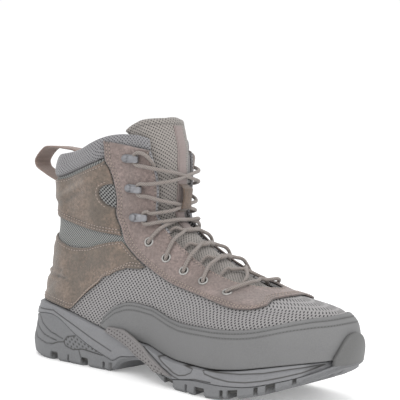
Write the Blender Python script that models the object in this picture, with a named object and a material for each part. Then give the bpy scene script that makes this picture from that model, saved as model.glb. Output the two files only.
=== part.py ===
"""Tactical boot, a right shoe, as an assembly of the pieces that a maker puts together.

Metres, +Z up, toe along +X, lateral side along -Y, medial side along +Y.
Along the shoe, lengths are measured from the back of the outsole. A level is a height in shares of
UPPER_HEIGHT above HEEL_STACK, and a reach is a share of the upper's own length at that height,
0 at the back of the heel and 1 at the front. An angle runs round the last: 0 at the back of the
heel, pi at the front, the lateral side between them and the medial side past pi.
"""
from collections import namedtuple
import math

import bpy
import bmesh
import numpy as np
from mathutils import Matrix, Vector

# Driving sizes
SOLE_LENGTH = 0.305
BALL_WIDTH = 0.112
HEEL_STACK = 0.047
UPPER_HEIGHT = 0.146
TOE_SPRING = 0.034
ARCH_RISE = 0.015
HEEL_BEVEL = 0.005
TREAD_EDGE = 0.003
LUG_DEPTH = 0.0045
WALL = 0.0022
OVERLAY = 0.0014
RAND_HEIGHT = 0.030
BUMPER_THICK = 0.003
BUMPER_HEIGHT = 0.017
BUMPER_HALF = 0.020
FRAME_THICK = 0.0016
INSOLE_THICK = 0.004
TONGUE_THICK = 0.005
COLLAR_PAD = 0.005
COLLAR_BULGE = 0.0022
THROAT_HALF = 0.0215
LACE_RADIUS = 0.0015
EYELET_HOLE = 0.0025
EYELET_FLANGE = 0.0016
SHEET_METAL = 0.0008
HOOK_LENGTH = 0.0135
HOOK_WIDTH = 0.007
EDGE_ROOM = 0.0037
LOOP_WIDTH = 0.020
LOOP_THICK = 0.0016
KEEPER_WIDTH = 0.011
KEEPER_THICK = 0.0012
CORD_DIP = 0.0019

# Clearances: flat faces, curved sheets on each other, the facing in the bend of the ankle, flat
# hooks on the round facing, the tongue behind the facings and neighbouring panels edge to edge
CLEAR = 0.0003
SEAT = 0.0008
FACING_SEAT = 0.0011
HOOK_SEAT = 0.0009
SLIDE = 0.0012
SEAM = 0.0010

# Plan of the sole: half widths as shares of BALL_WIDTH, places as shares of SOLE_LENGTH
Plan = namedtuple("Plan", "along lateral medial")
PLAN = (
    Plan(0.000, 0.355, 0.355),
    Plan(0.135, 0.357, 0.357),
    Plan(0.360, 0.343, 0.368),
    Plan(0.540, 0.440, 0.425),
    Plan(0.700, 0.500, 0.500),
    Plan(1.000, 0.500, 0.500),
)
HEEL_CENTRE = 0.135
BALL_CENTRE = 0.700
HEEL_POWER = 2.3
TOE_POWER_LATERAL = 2.0
TOE_POWER_MEDIAL = 2.6
SPRING_START = 0.672

# Side of the sole: the arch as a share of ARCH_RISE, and the thickness of the rubber and of the
# whole sole as shares of HEEL_STACK, both above the tread
Side = namedtuple("Side", "along arch rubber whole")
SIDE = (
    Side(0.000, 0.00, 0.61, 0.89),
    Side(0.049, 0.00, 0.76, 1.00),
    Side(0.121, 0.00, 0.82, 0.98),
    Side(0.144, 0.00, 0.79, 0.96),
    Side(0.216, 0.00, 0.53, 0.85),
    Side(0.272, 0.00, 0.36, 0.755),
    Side(0.315, 0.00, 0.26, 0.70),
    Side(0.342, 0.02, 0.20, 0.655),
    Side(0.374, 0.60, 0.10, 0.45),
    Side(0.413, 0.87, 0.06, 0.34),
    Side(0.452, 1.00, 0.06, 0.27),
    Side(0.492, 0.77, 0.065, 0.29),
    Side(0.534, 0.30, 0.11, 0.38),
    Side(0.584, 0.00, 0.17, 0.447),
    Side(0.672, 0.00, 0.245, 0.447),
    Side(0.754, 0.00, 0.21, 0.447),
    Side(0.816, 0.00, 0.165, 0.436),
    Side(0.862, 0.00, 0.15, 0.404),
    Side(0.925, 0.00, 0.11, 0.309),
    Side(0.977, 0.00, 0.085, 0.181),
    Side(1.000, 0.00, 0.085, 0.130),
)

# Slots that part the main lugs: place along the sole, side, width at the edge, length inward and
# slant, all as shares of BALL_WIDTH but for the place
Slot = namedtuple("Slot", "along side width length slant")
SLOTS = (
    Slot(0.138, -1, 0.065, 0.17, 0.04),
    Slot(0.248, -1, 0.060, 0.15, 0.03),
    Slot(0.575, -1, 0.085, 0.16, -0.06),
    Slot(0.682, -1, 0.080, 0.18, -0.06),
    Slot(0.777, -1, 0.070, 0.18, -0.05),
    Slot(0.869, -1, 0.055, 0.15, -0.04),
    Slot(0.138, 1, 0.065, 0.17, 0.04),
    Slot(0.248, 1, 0.060, 0.15, 0.03),
    Slot(0.593, 1, 0.075, 0.20, 0.10),
    Slot(0.685, 1, 0.080, 0.22, 0.10),
    Slot(0.780, 1, 0.075, 0.20, 0.08),
    Slot(0.869, 1, 0.055, 0.15, 0.05),
)

# Two long grooves that part the lateral lugs, the centre band and the medial lugs
Groove = namedtuple("Groove", "along outer inner")
GROOVES = (
    Groove(0.590, -0.235, 0.060),
    Groove(0.680, -0.270, 0.085),
    Groove(0.770, -0.270, 0.100),
    Groove(0.850, -0.235, 0.105),
    Groove(0.915, -0.170, 0.100),
)
GROOVE_WIDTH = 0.0028

# Horizontal slices of the upper's outer face: back and front as shares of SOLE_LENGTH, half
# widths at the heel, waist and fore stations as shares of BALL_WIDTH, the fore station's reach,
# the roundness of the nose and its skew to the medial side
Slice = namedtuple("Slice", "level back front heel waist lateral medial fore nose skew")
SLICES = (
    Slice(-0.158, 0.015, 0.980, 0.312, 0.321, 0.464, 0.464, 0.72, 2.30, 0.027),
    Slice(-0.075, 0.020, 0.982, 0.321, 0.326, 0.464, 0.464, 0.72, 2.30, 0.027),
    Slice(0.007, 0.025, 0.985, 0.321, 0.326, 0.455, 0.455, 0.72, 2.30, 0.027),
    Slice(0.089, 0.031, 0.980, 0.312, 0.326, 0.420, 0.440, 0.72, 2.20, 0.027),
    Slice(0.158, 0.039, 0.951, 0.304, 0.321, 0.357, 0.384, 0.72, 2.00, 0.027),
    Slice(0.212, 0.051, 0.813, 0.304, 0.321, 0.312, 0.330, 0.70, 1.75, 0.027),
    Slice(0.281, 0.056, 0.705, 0.295, 0.312, 0.286, 0.304, 0.68, 1.65, 0.027),
    Slice(0.363, 0.064, 0.613, 0.286, 0.304, 0.259, 0.277, 0.68, 1.65, 0.027),
    Slice(0.459, 0.072, 0.521, 0.277, 0.295, 0.241, 0.259, 0.68, 1.75, 0.027),
    Slice(0.582, 0.066, 0.457, 0.268, 0.295, 0.241, 0.250, 0.70, 1.90, 0.018),
    Slice(0.740, 0.053, 0.461, 0.268, 0.312, 0.250, 0.259, 0.72, 2.00, 0.009),
    Slice(0.911, 0.069, 0.459, 0.277, 0.339, 0.259, 0.268, 0.75, 2.00, 0.000),
    Slice(1.120, 0.072, 0.432, 0.277, 0.348, 0.268, 0.268, 0.75, 2.00, 0.000),
)
HEEL_STATION = 0.16
WAIST_STATION = 0.42
TAIL_POWER = 2.2

# Half opening of the throat as a share of THROAT_HALF
Opening = namedtuple("Opening", "level half")
THROAT = (
    Opening(0.233, 0.00),
    Opening(0.236, 0.50),
    Opening(0.242, 0.80),
    Opening(0.255, 0.98),
    Opening(0.300, 1.03),
    Opening(0.420, 0.95),
    Opening(0.500, 0.92),
    Opening(0.640, 0.95),
    Opening(0.760, 1.02),
    Opening(0.920, 1.22),
    Opening(1.050, 1.30),
)

# Facing round the throat, from the collar to the vamp: its outer border by level and reach, and
# the level of the matching point on the throat's edge
Facing = namedtuple("Facing", "level reach inner")
EYESTAY = (
    Facing(0.960, 0.520, 0.925),
    Facing(0.863, 0.533, 0.850),
    Facing(0.800, 0.575, 0.800),
    Facing(0.740, 0.600, 0.745),
    Facing(0.632, 0.618, 0.660),
    Facing(0.500, 0.590, 0.560),
    Facing(0.392, 0.550, 0.490),
    Facing(0.330, 0.561, 0.440),
    Facing(0.277, 0.588, 0.390),
    Facing(0.215, 0.619, 0.345),
    Facing(0.188, 0.645, 0.320),
    Facing(0.165, 0.675, 0.300),
    Facing(0.148, 0.712, 0.283),
    Facing(0.140, 0.750, 0.268),
    Facing(0.145, 0.790, 0.255),
    Facing(0.166, 0.845, 0.245),
    Facing(0.195, 0.930, 0.238),
    Facing(0.209, 1.000, 0.233),
)
FACING_BACK_ROWS = 9

# Collar roll: its lower and upper border by reach
Roll = namedtuple("Roll", "reach low high")
COLLAR = (
    Roll(0.00, 0.720, 0.862),
    Roll(0.10, 0.728, 0.868),
    Roll(0.30, 0.783, 0.905),
    Roll(0.41, 0.819, 0.943),
    Roll(0.53, 0.863, 0.985),
    Roll(0.60, 0.900, 0.998),
    Roll(0.68, 0.925, 1.004),
    Roll(0.77, 0.930, 1.003),
    Roll(0.86, 0.920, 0.990),
    Roll(1.00, 0.910, 0.980),
)

# Lower border of the ankle panel by reach
Border = namedtuple("Border", "reach level")
ANKLE_LOW = (
    Border(0.00, 0.515),
    Border(0.09, 0.497),
    Border(0.21, 0.472),
    Border(0.39, 0.446),
    Border(0.56, 0.432),
)

# Heel counter: its lower border as a lift above the feather line and its upper border, each with
# its angle as a share of pi; the last rows of the upper border run down behind the facing
Counter = namedtuple("Counter", "low_turn lift high_turn high_level")
COUNTER = (
    Counter(0.000, 0.000, 0.000, 0.405),
    Counter(0.050, 0.000, 0.055, 0.402),
    Counter(0.100, 0.000, 0.110, 0.396),
    Counter(0.150, 0.000, 0.165, 0.384),
    Counter(0.200, 0.000, 0.225, 0.358),
    Counter(0.240, 0.000, 0.290, 0.337),
    Counter(0.267, 0.012, 0.350, 0.345),
    Counter(0.283, 0.062, 0.410, 0.370),
    Counter(0.298, 0.130, 0.470, 0.393),
    Counter(0.322, 0.202, 0.520, 0.404),
    Counter(0.369, 0.280, 0.528, 0.375),
    Counter(0.436, 0.345, 0.531, 0.345),
    Counter(0.500, 0.388, 0.541, 0.312),
    Counter(0.545, 0.408, 0.548, 0.290),
)

# Rand: its height above the feather line as a share of RAND_HEIGHT
Band = namedtuple("Band", "along height")
RAND = (
    Band(0.298, 0.12),
    Band(0.308, 0.35),
    Band(0.325, 0.54),
    Band(0.354, 0.80),
    Band(0.397, 0.96),
    Band(0.450, 1.00),
    Band(0.580, 0.97),
    Band(0.715, 1.00),
    Band(0.810, 0.98),
    Band(0.900, 1.02),
    Band(1.000, 0.98),
)

# Tongue: reach of its edges and how much deeper it sits behind the collar roll
Sheet = namedtuple("Sheet", "level reach sink")
TONGUE = (
    Sheet(0.195, 0.950, 0.4),
    Sheet(0.240, 0.880, 0.4),
    Sheet(0.360, 0.810, 0.0),
    Sheet(0.600, 0.760, 0.0),
    Sheet(0.780, 0.735, 0.2),
    Sheet(0.900, 0.715, 1.0),
    Sheet(1.100, 0.700, 1.0),
)
TONGUE_FOOT = 0.195
TONGUE_TOP = 1.098
TONGUE_DROP = 0.060
ROLL_FRONT_PAD = 0.0012

# Frames over the side of the arch, as shares of SOLE_LENGTH and of HEEL_STACK
Frame = namedtuple("Frame", "low_along low_height high_along high_height")
ARCH_FRAME = (
    Frame(0.318, 0.690, 0.331, 0.785),
    Frame(0.357, 0.600, 0.374, 0.785),
    Frame(0.400, 0.505, 0.416, 0.710),
    Frame(0.440, 0.385, 0.459, 0.600),
    Frame(0.485, 0.305, 0.499, 0.450),
    Frame(0.518, 0.215, 0.580, 0.215),
)

# Eyelets from the toe up, then hooks: level and reach of each
Place = namedtuple("Place", "level reach")
EYELETS = (
    Place(0.201, 0.806),
    Place(0.243, 0.785),
    Place(0.283, 0.755),
    Place(0.340, 0.732),
    Place(0.415, 0.715),
)
HOOKS = (
    Place(0.544, 0.765),
    Place(0.708, 0.750),
    Place(0.872, 0.718),
)
KEEPER_LOW = 0.590
KEEPER_HIGH = 0.744

# Pull loop in side view: places behind the skin at the heel, level by level
Bend = namedtuple("Bend", "behind level")
LOOP_OUTSIDE = (
    Bend(0.0035, 0.700),
    Bend(0.0120, 0.732),
    Bend(0.0230, 0.762),
    Bend(0.0330, 0.793),
    Bend(0.0345, 0.818),
    Bend(0.0290, 0.862),
    Bend(0.0220, 0.893),
    Bend(0.0120, 0.897),
    Bend(0.0020, 0.893),
    Bend(-0.0080, 0.888),
    Bend(-0.0138, 0.862),
    Bend(-0.0146, 0.800),
)

MEDIAL = 1
LATERAL = -1
SIDES = (("lateral", LATERAL), ("medial", MEDIAL))
TURN_STEP = 0.01
SOLE_STATIONS = 36
EYELET_SIDES = 8
STRAND_POINTS = 11
CORD_SIDES = 5
RISE_STEP = 0.0004


def ease(rows, key, value, at):
    """Read a column of a table between its rows: a cubic that never overshoots them."""
    xs = np.array([getattr(row, key) for row in rows]) if key else np.linspace(0, 1, len(rows))
    ys = np.array([getattr(row, value) for row in rows])
    at = np.asarray(at, float)
    span = np.diff(xs)
    rate = np.diff(ys) / span
    slope = np.zeros(len(ys))
    slope[0], slope[-1] = rate[0], rate[-1]
    for i in range(1, len(xs) - 1):
        if rate[i - 1] * rate[i] > 0:
            before = 2 * span[i] + span[i - 1]
            after = span[i] + 2 * span[i - 1]
            slope[i] = (before + after) / (before / rate[i - 1] + after / rate[i])
    i = np.clip(np.searchsorted(xs, at) - 1, 0, len(xs) - 2)
    t = np.clip((at - xs[i]) / span[i], 0, 1)
    start = (2 * t ** 3 - 3 * t ** 2 + 1) * ys[i] + (t ** 3 - 2 * t ** 2 + t) * span[i] * slope[i]
    end = (3 * t ** 2 - 2 * t ** 3) * ys[i + 1] + (t ** 3 - t ** 2) * span[i] * slope[i + 1]
    return start + end


def fade(low, high, at):
    """0 below low, 1 above high and a soft step between them."""
    t = np.clip((np.asarray(at, float) - low) / (high - low), 0, 1)
    return t * t * (3 - 2 * t)


def cap(t, power):
    """Height of a rounded end at t, from 1 at its foot to 0 at its tip."""
    return (1 - np.clip(t, 0, 1) ** power) ** (1 / power)


def height_of(level):
    return HEEL_STACK + np.asarray(level, float) * UPPER_HEIGHT


def level_of(height):
    return (np.asarray(height, float) - HEEL_STACK) / UPPER_HEIGHT


# The sole


def sole_half(x, side):
    """Half width of the sole at x, with rounded heel and toe."""
    along = np.clip(np.asarray(x, float) / SOLE_LENGTH, 0, 1)
    column = "lateral" if side < 0 else "medial"
    power = TOE_POWER_LATERAL if side < 0 else TOE_POWER_MEDIAL
    toe = cap((along - BALL_CENTRE) / (1 - BALL_CENTRE), power)
    heel = cap((HEEL_CENTRE - along) / HEEL_CENTRE, HEEL_POWER)
    return ease(PLAN, "along", column, along) * BALL_WIDTH * toe * heel


def tread(x):
    """Lowest surface of the sole: heel bevel, arch and toe spring."""
    along = np.clip(np.asarray(x, float) / SOLE_LENGTH, 0, 1)
    spring = np.clip((along - SPRING_START) / (1 - SPRING_START), 0, 1) ** 2
    bevel = np.clip(1 - along / 0.05, 0, 1) ** 2
    return TOE_SPRING * spring + ARCH_RISE * ease(SIDE, "along", "arch", along) + HEEL_BEVEL * bevel


def seam(x):
    """Border of outsole and midsole on the side of the sole."""
    return tread(x) + HEEL_STACK * ease(SIDE, "along", "rubber", np.asarray(x) / SOLE_LENGTH)


def feather(x):
    """Feather line, where the upper stands on the midsole."""
    return tread(x) + HEEL_STACK * ease(SIDE, "along", "whole", np.asarray(x) / SOLE_LENGTH)


def sole_ring(inset):
    """Plan outline, lateral heel to toe and back along the medial side, moved in by inset."""
    phi = np.linspace(0, np.pi, SOLE_STATIONS + 1)
    x = SOLE_LENGTH * (1 - np.cos(phi)) / 2
    lateral = np.stack([x, -sole_half(x, LATERAL)], 1)
    medial = np.stack([x, sole_half(x, MEDIAL)], 1)[::-1]
    ring = np.concatenate([lateral, medial[1:-1]])
    along = np.roll(ring, -1, 0) - np.roll(ring, 1, 0)
    along /= np.linalg.norm(along, axis=1)[:, None]
    inward = np.stack([-along[:, 1], along[:, 0]], 1)
    ring = ring + inward * np.broadcast_to(inset, len(ring))[:, None]
    return ring, ring[:, 0]


def sole_wall(x, height, side, out):
    """A point on the side of the sole, moved out by out."""
    step = 0.0005
    half = sole_half(x, side)
    slope = (sole_half(x + step, side) - sole_half(x - step, side)) / (2 * step)
    length = np.sqrt(1 + slope ** 2)
    return np.stack([x - slope / length * out, side * (half + out / length), height], -1)


# The upper's surface


def slice_point(height, angle):
    """Point of the upper's outer face at a height and an angle round the last."""
    turn = np.mod(angle, 2 * np.pi)
    medial = turn > np.pi
    phi = np.where(medial, 2 * np.pi - turn, turn)
    side = np.where(medial, 1.0, -1.0)
    reach = (1 - np.cos(phi)) / 2
    level = level_of(height)
    back = ease(SLICES, "level", "back", level) * SOLE_LENGTH
    front = ease(SLICES, "level", "front", level) * SOLE_LENGTH
    heel = ease(SLICES, "level", "heel", level)
    waist = ease(SLICES, "level", "waist", level)
    lateral = ease(SLICES, "level", "lateral", level)
    inner = ease(SLICES, "level", "medial", level)
    fore = np.where(medial, inner, lateral)
    station = ease(SLICES, "level", "fore", level)
    half = heel + (waist - heel) * fade(HEEL_STATION, WAIST_STATION, reach)
    half = half + (fore - waist) * fade(0, 1, (reach - WAIST_STATION) / (station - WAIST_STATION))
    power = ease(SLICES, "level", "nose", level)
    nose = np.clip((reach - station) / (1 - station), 0, 1)
    half = half * (1 - nose ** power) ** (1 / power) * cap((HEEL_STATION - reach) / HEEL_STATION, TAIL_POWER)
    skew = ease(SLICES, "level", "skew", level) * reach
    y = BALL_WIDTH * (skew + side * half)
    return np.stack([back + (front - back) * reach, y, np.asarray(height) + 0 * y], -1)


def skin(height, angle, offset):
    """The upper's outer face, moved out along its normal by offset."""
    height, angle, offset = np.broadcast_arrays(np.asarray(height, float), angle, offset)
    point = slice_point(height, angle)
    along = slice_point(height, angle + TURN_STEP) - slice_point(height, angle - TURN_STEP)
    up = slice_point(height + RISE_STEP, angle) - slice_point(height - RISE_STEP, angle)
    normal = np.cross(along, up)
    normal /= np.linalg.norm(normal, axis=-1)[..., None]
    return point + normal * offset[..., None]


def angle_at(reach):
    return np.arccos(1 - 2 * np.clip(reach, 0, 1))


def angle_at_half(height, half):
    """Lateral angle at which the front part of a slice is half wide, counted from the nose's y."""
    low = np.full(np.shape(height), 0.5 * np.pi)
    high = np.full(np.shape(height), np.pi)
    middle = slice_point(height, high)[..., 1]
    for _ in range(30):
        angle = (low + high) / 2
        wide = middle - slice_point(height, angle)[..., 1] > half
        low = np.where(wide, angle, low)
        high = np.where(wide, high, angle)
    return high


def throat_angle(height):
    """Lateral angle of the throat's edge."""
    half = THROAT_HALF * ease(THROAT, "level", "half", level_of(height))
    return np.where(half > 0, angle_at_half(height, np.maximum(half, 1e-6)), np.pi)


def ridge_levels(low, high, count):
    """Heights from low to high, evenly spaced along the upper's front edge."""
    fine = np.linspace(low, high, 400)
    line = slice_point(fine, np.full(400, np.pi))
    steps = np.concatenate([[0], np.cumsum(np.linalg.norm(np.diff(line, axis=0), axis=1))])
    return np.interp(np.linspace(0, steps[-1], count + 1), steps, fine)


def upper_foot(angle):
    """Height of the upper's lower edge at an angle."""
    height = np.full(np.shape(angle), HEEL_STACK * 0.8)
    for _ in range(4):
        height = feather(slice_point(height, angle)[..., 0]) + SEAT
    return height


def roll_low(angle):
    return height_of(ease(COLLAR, "reach", "low", (1 - np.cos(angle)) / 2))


def roll_high(angle):
    return height_of(ease(COLLAR, "reach", "high", (1 - np.cos(angle)) / 2))


def facing_back(level):
    """Angle just behind the facing's back border, where the next panel ends."""
    rows = EYESTAY[:FACING_BACK_ROWS][::-1]
    height = height_of(level)
    length = slice_point(height, np.pi)[..., 0] - slice_point(height, 0.0)[..., 0]
    return angle_at(ease(rows, "level", "reach", level)) - SEAM * 2 / length


# Turning points into solids


def add_object(name, points, faces, colour, rough, metal=0.0):
    """One closed mesh object with its own material."""
    mesh = bpy.data.meshes.new(name)
    mesh.from_pydata([tuple(p) for p in points], [], faces)
    solid = bmesh.new()
    solid.from_mesh(mesh)
    bmesh.ops.recalc_face_normals(solid, faces=solid.faces)
    solid.to_mesh(mesh)
    solid.free()
    mesh.shade_smooth()
    mesh.set_sharp_from_angle(angle=math.radians(35))
    mesh.materials.append(material(name, colour, rough, metal))
    made = bpy.data.objects.new(name, mesh)
    bpy.context.collection.objects.link(made)
    return made


def material(name, colour, rough, metal):
    made = bpy.data.materials.new(name)
    made.use_nodes = True
    surface = made.node_tree.nodes["Principled BSDF"]
    surface.inputs["Base Color"].default_value = (*colour, 1.0)
    surface.inputs["Roughness"].default_value = rough
    surface.inputs["Metallic"].default_value = metal
    return made


def grid_faces(columns, rows):
    """Quads of a grid whose points run along the columns first."""
    faces = []
    for j in range(rows - 1):
        for i in range(columns - 1):
            corner = j * columns + i
            faces.append((corner, corner + 1, corner + columns + 1, corner + columns))
    return faces


def shell(name, outer, inner, faces, finish):
    """Close two matching sheets into one solid along their open edges."""
    count = len(outer)
    sides = {}
    for face in faces:
        for a, b in zip(face, face[1:] + face[:1]):
            sides[(a, b)] = True
    rim = [(b, a, a + count, b + count) for a, b in sides if (b, a) not in sides]
    back = [tuple(i + count for i in reversed(face)) for face in faces]
    return add_object(name, np.concatenate([outer, inner]), faces + back + rim, *finish)


def panel(name, low, high, rows, inner, outer, finish):
    """A sheet of the upper between two borders, each an array of angles and one of heights."""
    t = np.linspace(0, 1, rows)[:, None]
    angle = low[0] + (high[0] - low[0]) * t
    height = low[1] + (high[1] - low[1]) * t
    faces = grid_faces(angle.shape[1], rows)
    outside = skin(height, angle, outer).reshape(-1, 3)
    inside = skin(height, angle, inner).reshape(-1, 3)
    return shell(name, outside, inside, faces, finish)


def stack(name, rings, finish):
    """A solid of stacked plan rings, closed below and above by strips across the shoe."""
    count = len(rings[0])
    half = count // 2
    faces = []
    for j in range(len(rings) - 1):
        for i in range(count):
            k = (i + 1) % count
            faces.append((j * count + i, j * count + k, (j + 1) * count + k, (j + 1) * count + i))
    top = (len(rings) - 1) * count
    for i in range(half):
        across = [i, i + 1, (count - i - 1) % count, (count - i) % count]
        strip = list(dict.fromkeys(across))
        faces.append(tuple(reversed(strip)))
        faces.append(tuple(top + k for k in strip))
    return add_object(name, np.concatenate(rings), faces, *finish)


def tube(name, path, radius, sides, finish):
    """A round cord along a path, with flat ends."""
    path = np.asarray(path, float)
    tangent = np.gradient(path, axis=0)
    tangent /= np.linalg.norm(tangent, axis=1)[:, None]
    across = np.cross(tangent, (0.0, 0.0, 1.0))
    across /= np.linalg.norm(across, axis=1)[:, None]
    over = np.cross(across, tangent)
    turn = np.linspace(0, 2 * np.pi, sides, endpoint=False)
    ring = np.cos(turn)[None, :, None] * across[:, None] + np.sin(turn)[None, :, None] * over[:, None]
    points = (path[:, None] + radius * ring).reshape(-1, 3)
    faces = []
    for j in range(len(path) - 1):
        for i in range(sides):
            k = (i + 1) % sides
            faces.append((j * sides + i, j * sides + k, (j + 1) * sides + k, (j + 1) * sides + i))
    last = (len(path) - 1) * sides
    faces.append(tuple(range(sides))[::-1])
    faces.append(tuple(last + i for i in range(sides)))
    return add_object(name, points, faces, *finish)


def combine(target, other, operation):
    """Boolean with a helper object that isn't part of the model."""
    other.hide_render = True
    other.display_type = "WIRE"
    step = target.modifiers.new(other.name, "BOOLEAN")
    step.operation = operation
    step.object = other
    step.solver = "EXACT"


# Finishes: colour in linear light, roughness, metal
RUBBER = ((0.19, 0.19, 0.20), 0.75)
FOAM = ((0.30, 0.30, 0.32), 0.70)
FRAME_FINISH = ((0.27, 0.25, 0.24), 0.70)
SUEDE = ((0.22, 0.18, 0.155), 0.95)
VAMP_MESH = ((0.22, 0.21, 0.21), 0.90)
SMOOTH = ((0.25, 0.25, 0.25), 0.60)
LINING = ((0.28, 0.27, 0.28), 0.90)
WEBBING = ((0.35, 0.26, 0.23), 0.90)
METAL = ((0.16, 0.17, 0.18), 0.45, 0.8)
CORD = ((0.29, 0.26, 0.24), 0.85)


# The pieces


def make_outsole():
    rings = []
    for share, most, inset in ((0, 0, TREAD_EDGE), (0.3, 0.0012, TREAD_EDGE * 0.4), (0.6, 0.003, 0)):
        ring, x = sole_ring(inset)
        thick = seam(x) - tread(x)
        rings.append(np.column_stack([ring, tread(x) + np.minimum(share * thick, most)]))
    for share, inset in ((0.88, 0), (1.0, 2 * CLEAR)):
        ring, x = sole_ring(inset)
        rings.append(np.column_stack([ring, tread(x) + share * (seam(x) - tread(x))]))
    outsole = stack("outsole", rings, RUBBER)
    combine(outsole, make_bumper(), "UNION")
    combine(outsole, make_slots(), "DIFFERENCE")
    return outsole


def make_bumper():
    """Guard that the outsole's rubber forms in front of the toe."""
    across = np.linspace(-1, 1, 15)
    foot = seam(SOLE_LENGTH) - BUMPER_THICK
    start = feather(SOLE_LENGTH)
    top = start + BUMPER_HEIGHT * (1 - np.abs(across) ** 1.6)
    inner = 2 * SEAT + OVERLAY

    def border(height):
        half = BUMPER_HALF * np.maximum(np.abs(across), 1e-3)
        angle = angle_at_half(height, half)
        return np.where(across < 0, angle, 2 * np.pi - angle), height

    low = border(np.full(across.shape, foot))
    return panel("bumper_form", low, border(top), 4, inner, inner + BUMPER_THICK, RUBBER)


def make_slots():
    """Cutter for the gaps between the main lugs."""
    points = []
    faces = []

    def add_block(plan):
        """A block under a plan quad, up to the depth of the lugs."""
        first = len(points)
        for x, y in plan:
            points.append((x, y, -LUG_DEPTH))
        for x, y in plan:
            points.append((x, y, float(tread(x)) + LUG_DEPTH))
        faces.append(tuple(first + i for i in (0, 3, 2, 1)))
        faces.append(tuple(first + i for i in (4, 5, 6, 7)))
        for i in range(4):
            k = (i + 1) % 4
            faces.append((first + i, first + k, first + k + 4, first + i + 4))

    for slot in SLOTS:
        x = slot.along * SOLE_LENGTH
        half = float(sole_half(x, slot.side))
        wide = slot.width * BALL_WIDTH / 2
        outer = slot.side * (half + TREAD_EDGE)
        inner = slot.side * (half - slot.length * BALL_WIDTH)
        lean = slot.slant * BALL_WIDTH
        add_block([(x - wide, outer), (x + wide, outer), (x + lean + wide / 2, inner),
                   (x + lean - wide / 2, inner)])
    for column in ("outer", "inner"):
        for a, b in zip(GROOVES[:-1], GROOVES[1:]):
            start = Vector((a.along * SOLE_LENGTH, getattr(a, column) * BALL_WIDTH))
            end = Vector((b.along * SOLE_LENGTH, getattr(b, column) * BALL_WIDTH))
            run = (end - start).normalized()
            start += run * GROOVE_WIDTH
            end -= run * GROOVE_WIDTH
            side = Vector((-run.y, run.x)) * GROOVE_WIDTH / 2
            add_block([start - side, end - side, end + side, start + side])
    return add_object("slot_form", points, faces, *RUBBER)


def make_midsole():
    rings = []
    for share, inset in ((0, 2 * CLEAR), (0.14, 0), (0.48, 0), (0.54, 0.001), (0.93, 0.001), (1, 0.0016)):
        _, x = sole_ring(0)
        room = (BUMPER_THICK + SLIDE + 2 * CLEAR) * fade(0.92, 0.96, x / SOLE_LENGTH)
        ring, x = sole_ring(inset + room)
        low = seam(x) + CLEAR
        rings.append(np.column_stack([ring, low + share * (feather(x) - low)]))
    return stack("midsole", rings, FOAM)


def make_arch_frames():
    s = np.linspace(0, 1, 11)
    t = np.linspace(0, 1, 3)[:, None]
    low_x, low_z, high_x, high_z = (ease(ARCH_FRAME, None, key, s) for key in Frame._fields)
    x = (low_x + (high_x - low_x) * t) * SOLE_LENGTH
    height = (low_z + (high_z - low_z) * t) * HEEL_STACK
    for word, side in SIDES:
        outer = sole_wall(x, height, side, SEAT + FRAME_THICK).reshape(-1, 3)
        inner = sole_wall(x, height, side, SEAT).reshape(-1, 3)
        shell("arch_frame_" + word, outer, inner, grid_faces(11, 3), FRAME_FINISH)


def make_insole():
    angle = np.linspace(0, 2 * np.pi, 56, endpoint=False)
    foot = upper_foot(angle)
    ring = skin(foot + INSOLE_THICK / 2, angle, -(WALL + 2 * SEAT))
    low = ring.copy()
    low[:, 2] = feather(ring[:, 0]) + SEAT
    high = low + np.array((0, 0, INSOLE_THICK))
    return stack("insole", [low, high], LINING)


def make_upper():
    """Hollow wall from the feather line to the collar roll, slit at the front by the throat."""
    columns, vamp_rows, shaft_rows = 34, 5, 12
    rows = vamp_rows + shaft_rows
    end = float(height_of(THROAT[0].level))
    foot_front = float(upper_foot(np.array(np.pi)))
    top_front = float(roll_low(np.pi)) - CLEAR
    front = np.concatenate([
        ridge_levels(foot_front, end, vamp_rows),
        ridge_levels(end, top_front, shaft_rows)[1:],
    ])
    front_share = (front - foot_front) / (top_front - foot_front)
    heel_share = np.linspace(0, 1, rows + 1)

    def row_height(j, angle):
        mix = fade(0, 1, (1 - np.cos(angle)) / 2)
        share = heel_share[j] + (front_share[j] - heel_share[j]) * mix
        low = upper_foot(angle)
        return low + (roll_low(angle) - CLEAR - low) * share

    spread = np.linspace(-1, 1, columns + 1)
    points = []
    index = np.zeros((rows + 1, columns + 1), int)
    for j in range(rows + 1):
        edge = np.array(np.pi)
        for _ in range(12 if j > vamp_rows else 0):
            edge = (edge + throat_angle(row_height(j, edge))) / 2
        angle = spread * float(edge)
        closed = j <= vamp_rows
        used = angle[:-1] if closed else angle
        index[j, :len(used)] = len(points) + np.arange(len(used))
        if closed:
            index[j, -1] = index[j, 0]
        points.extend(zip(row_height(j, used), used))
    height, angle = np.array(points).T
    faces = []
    for j in range(rows):
        for i in range(columns):
            corners = (index[j, i], index[j, i + 1], index[j + 1, i + 1], index[j + 1, i])
            faces.append(tuple(dict.fromkeys(int(k) for k in corners)))
    upper = shell("upper", skin(height, angle, 0.0), skin(height, angle, -WALL), faces, VAMP_MESH)
    combine(upper, make_hole_form("upper_holes"), "DIFFERENCE")
    return upper


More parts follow.
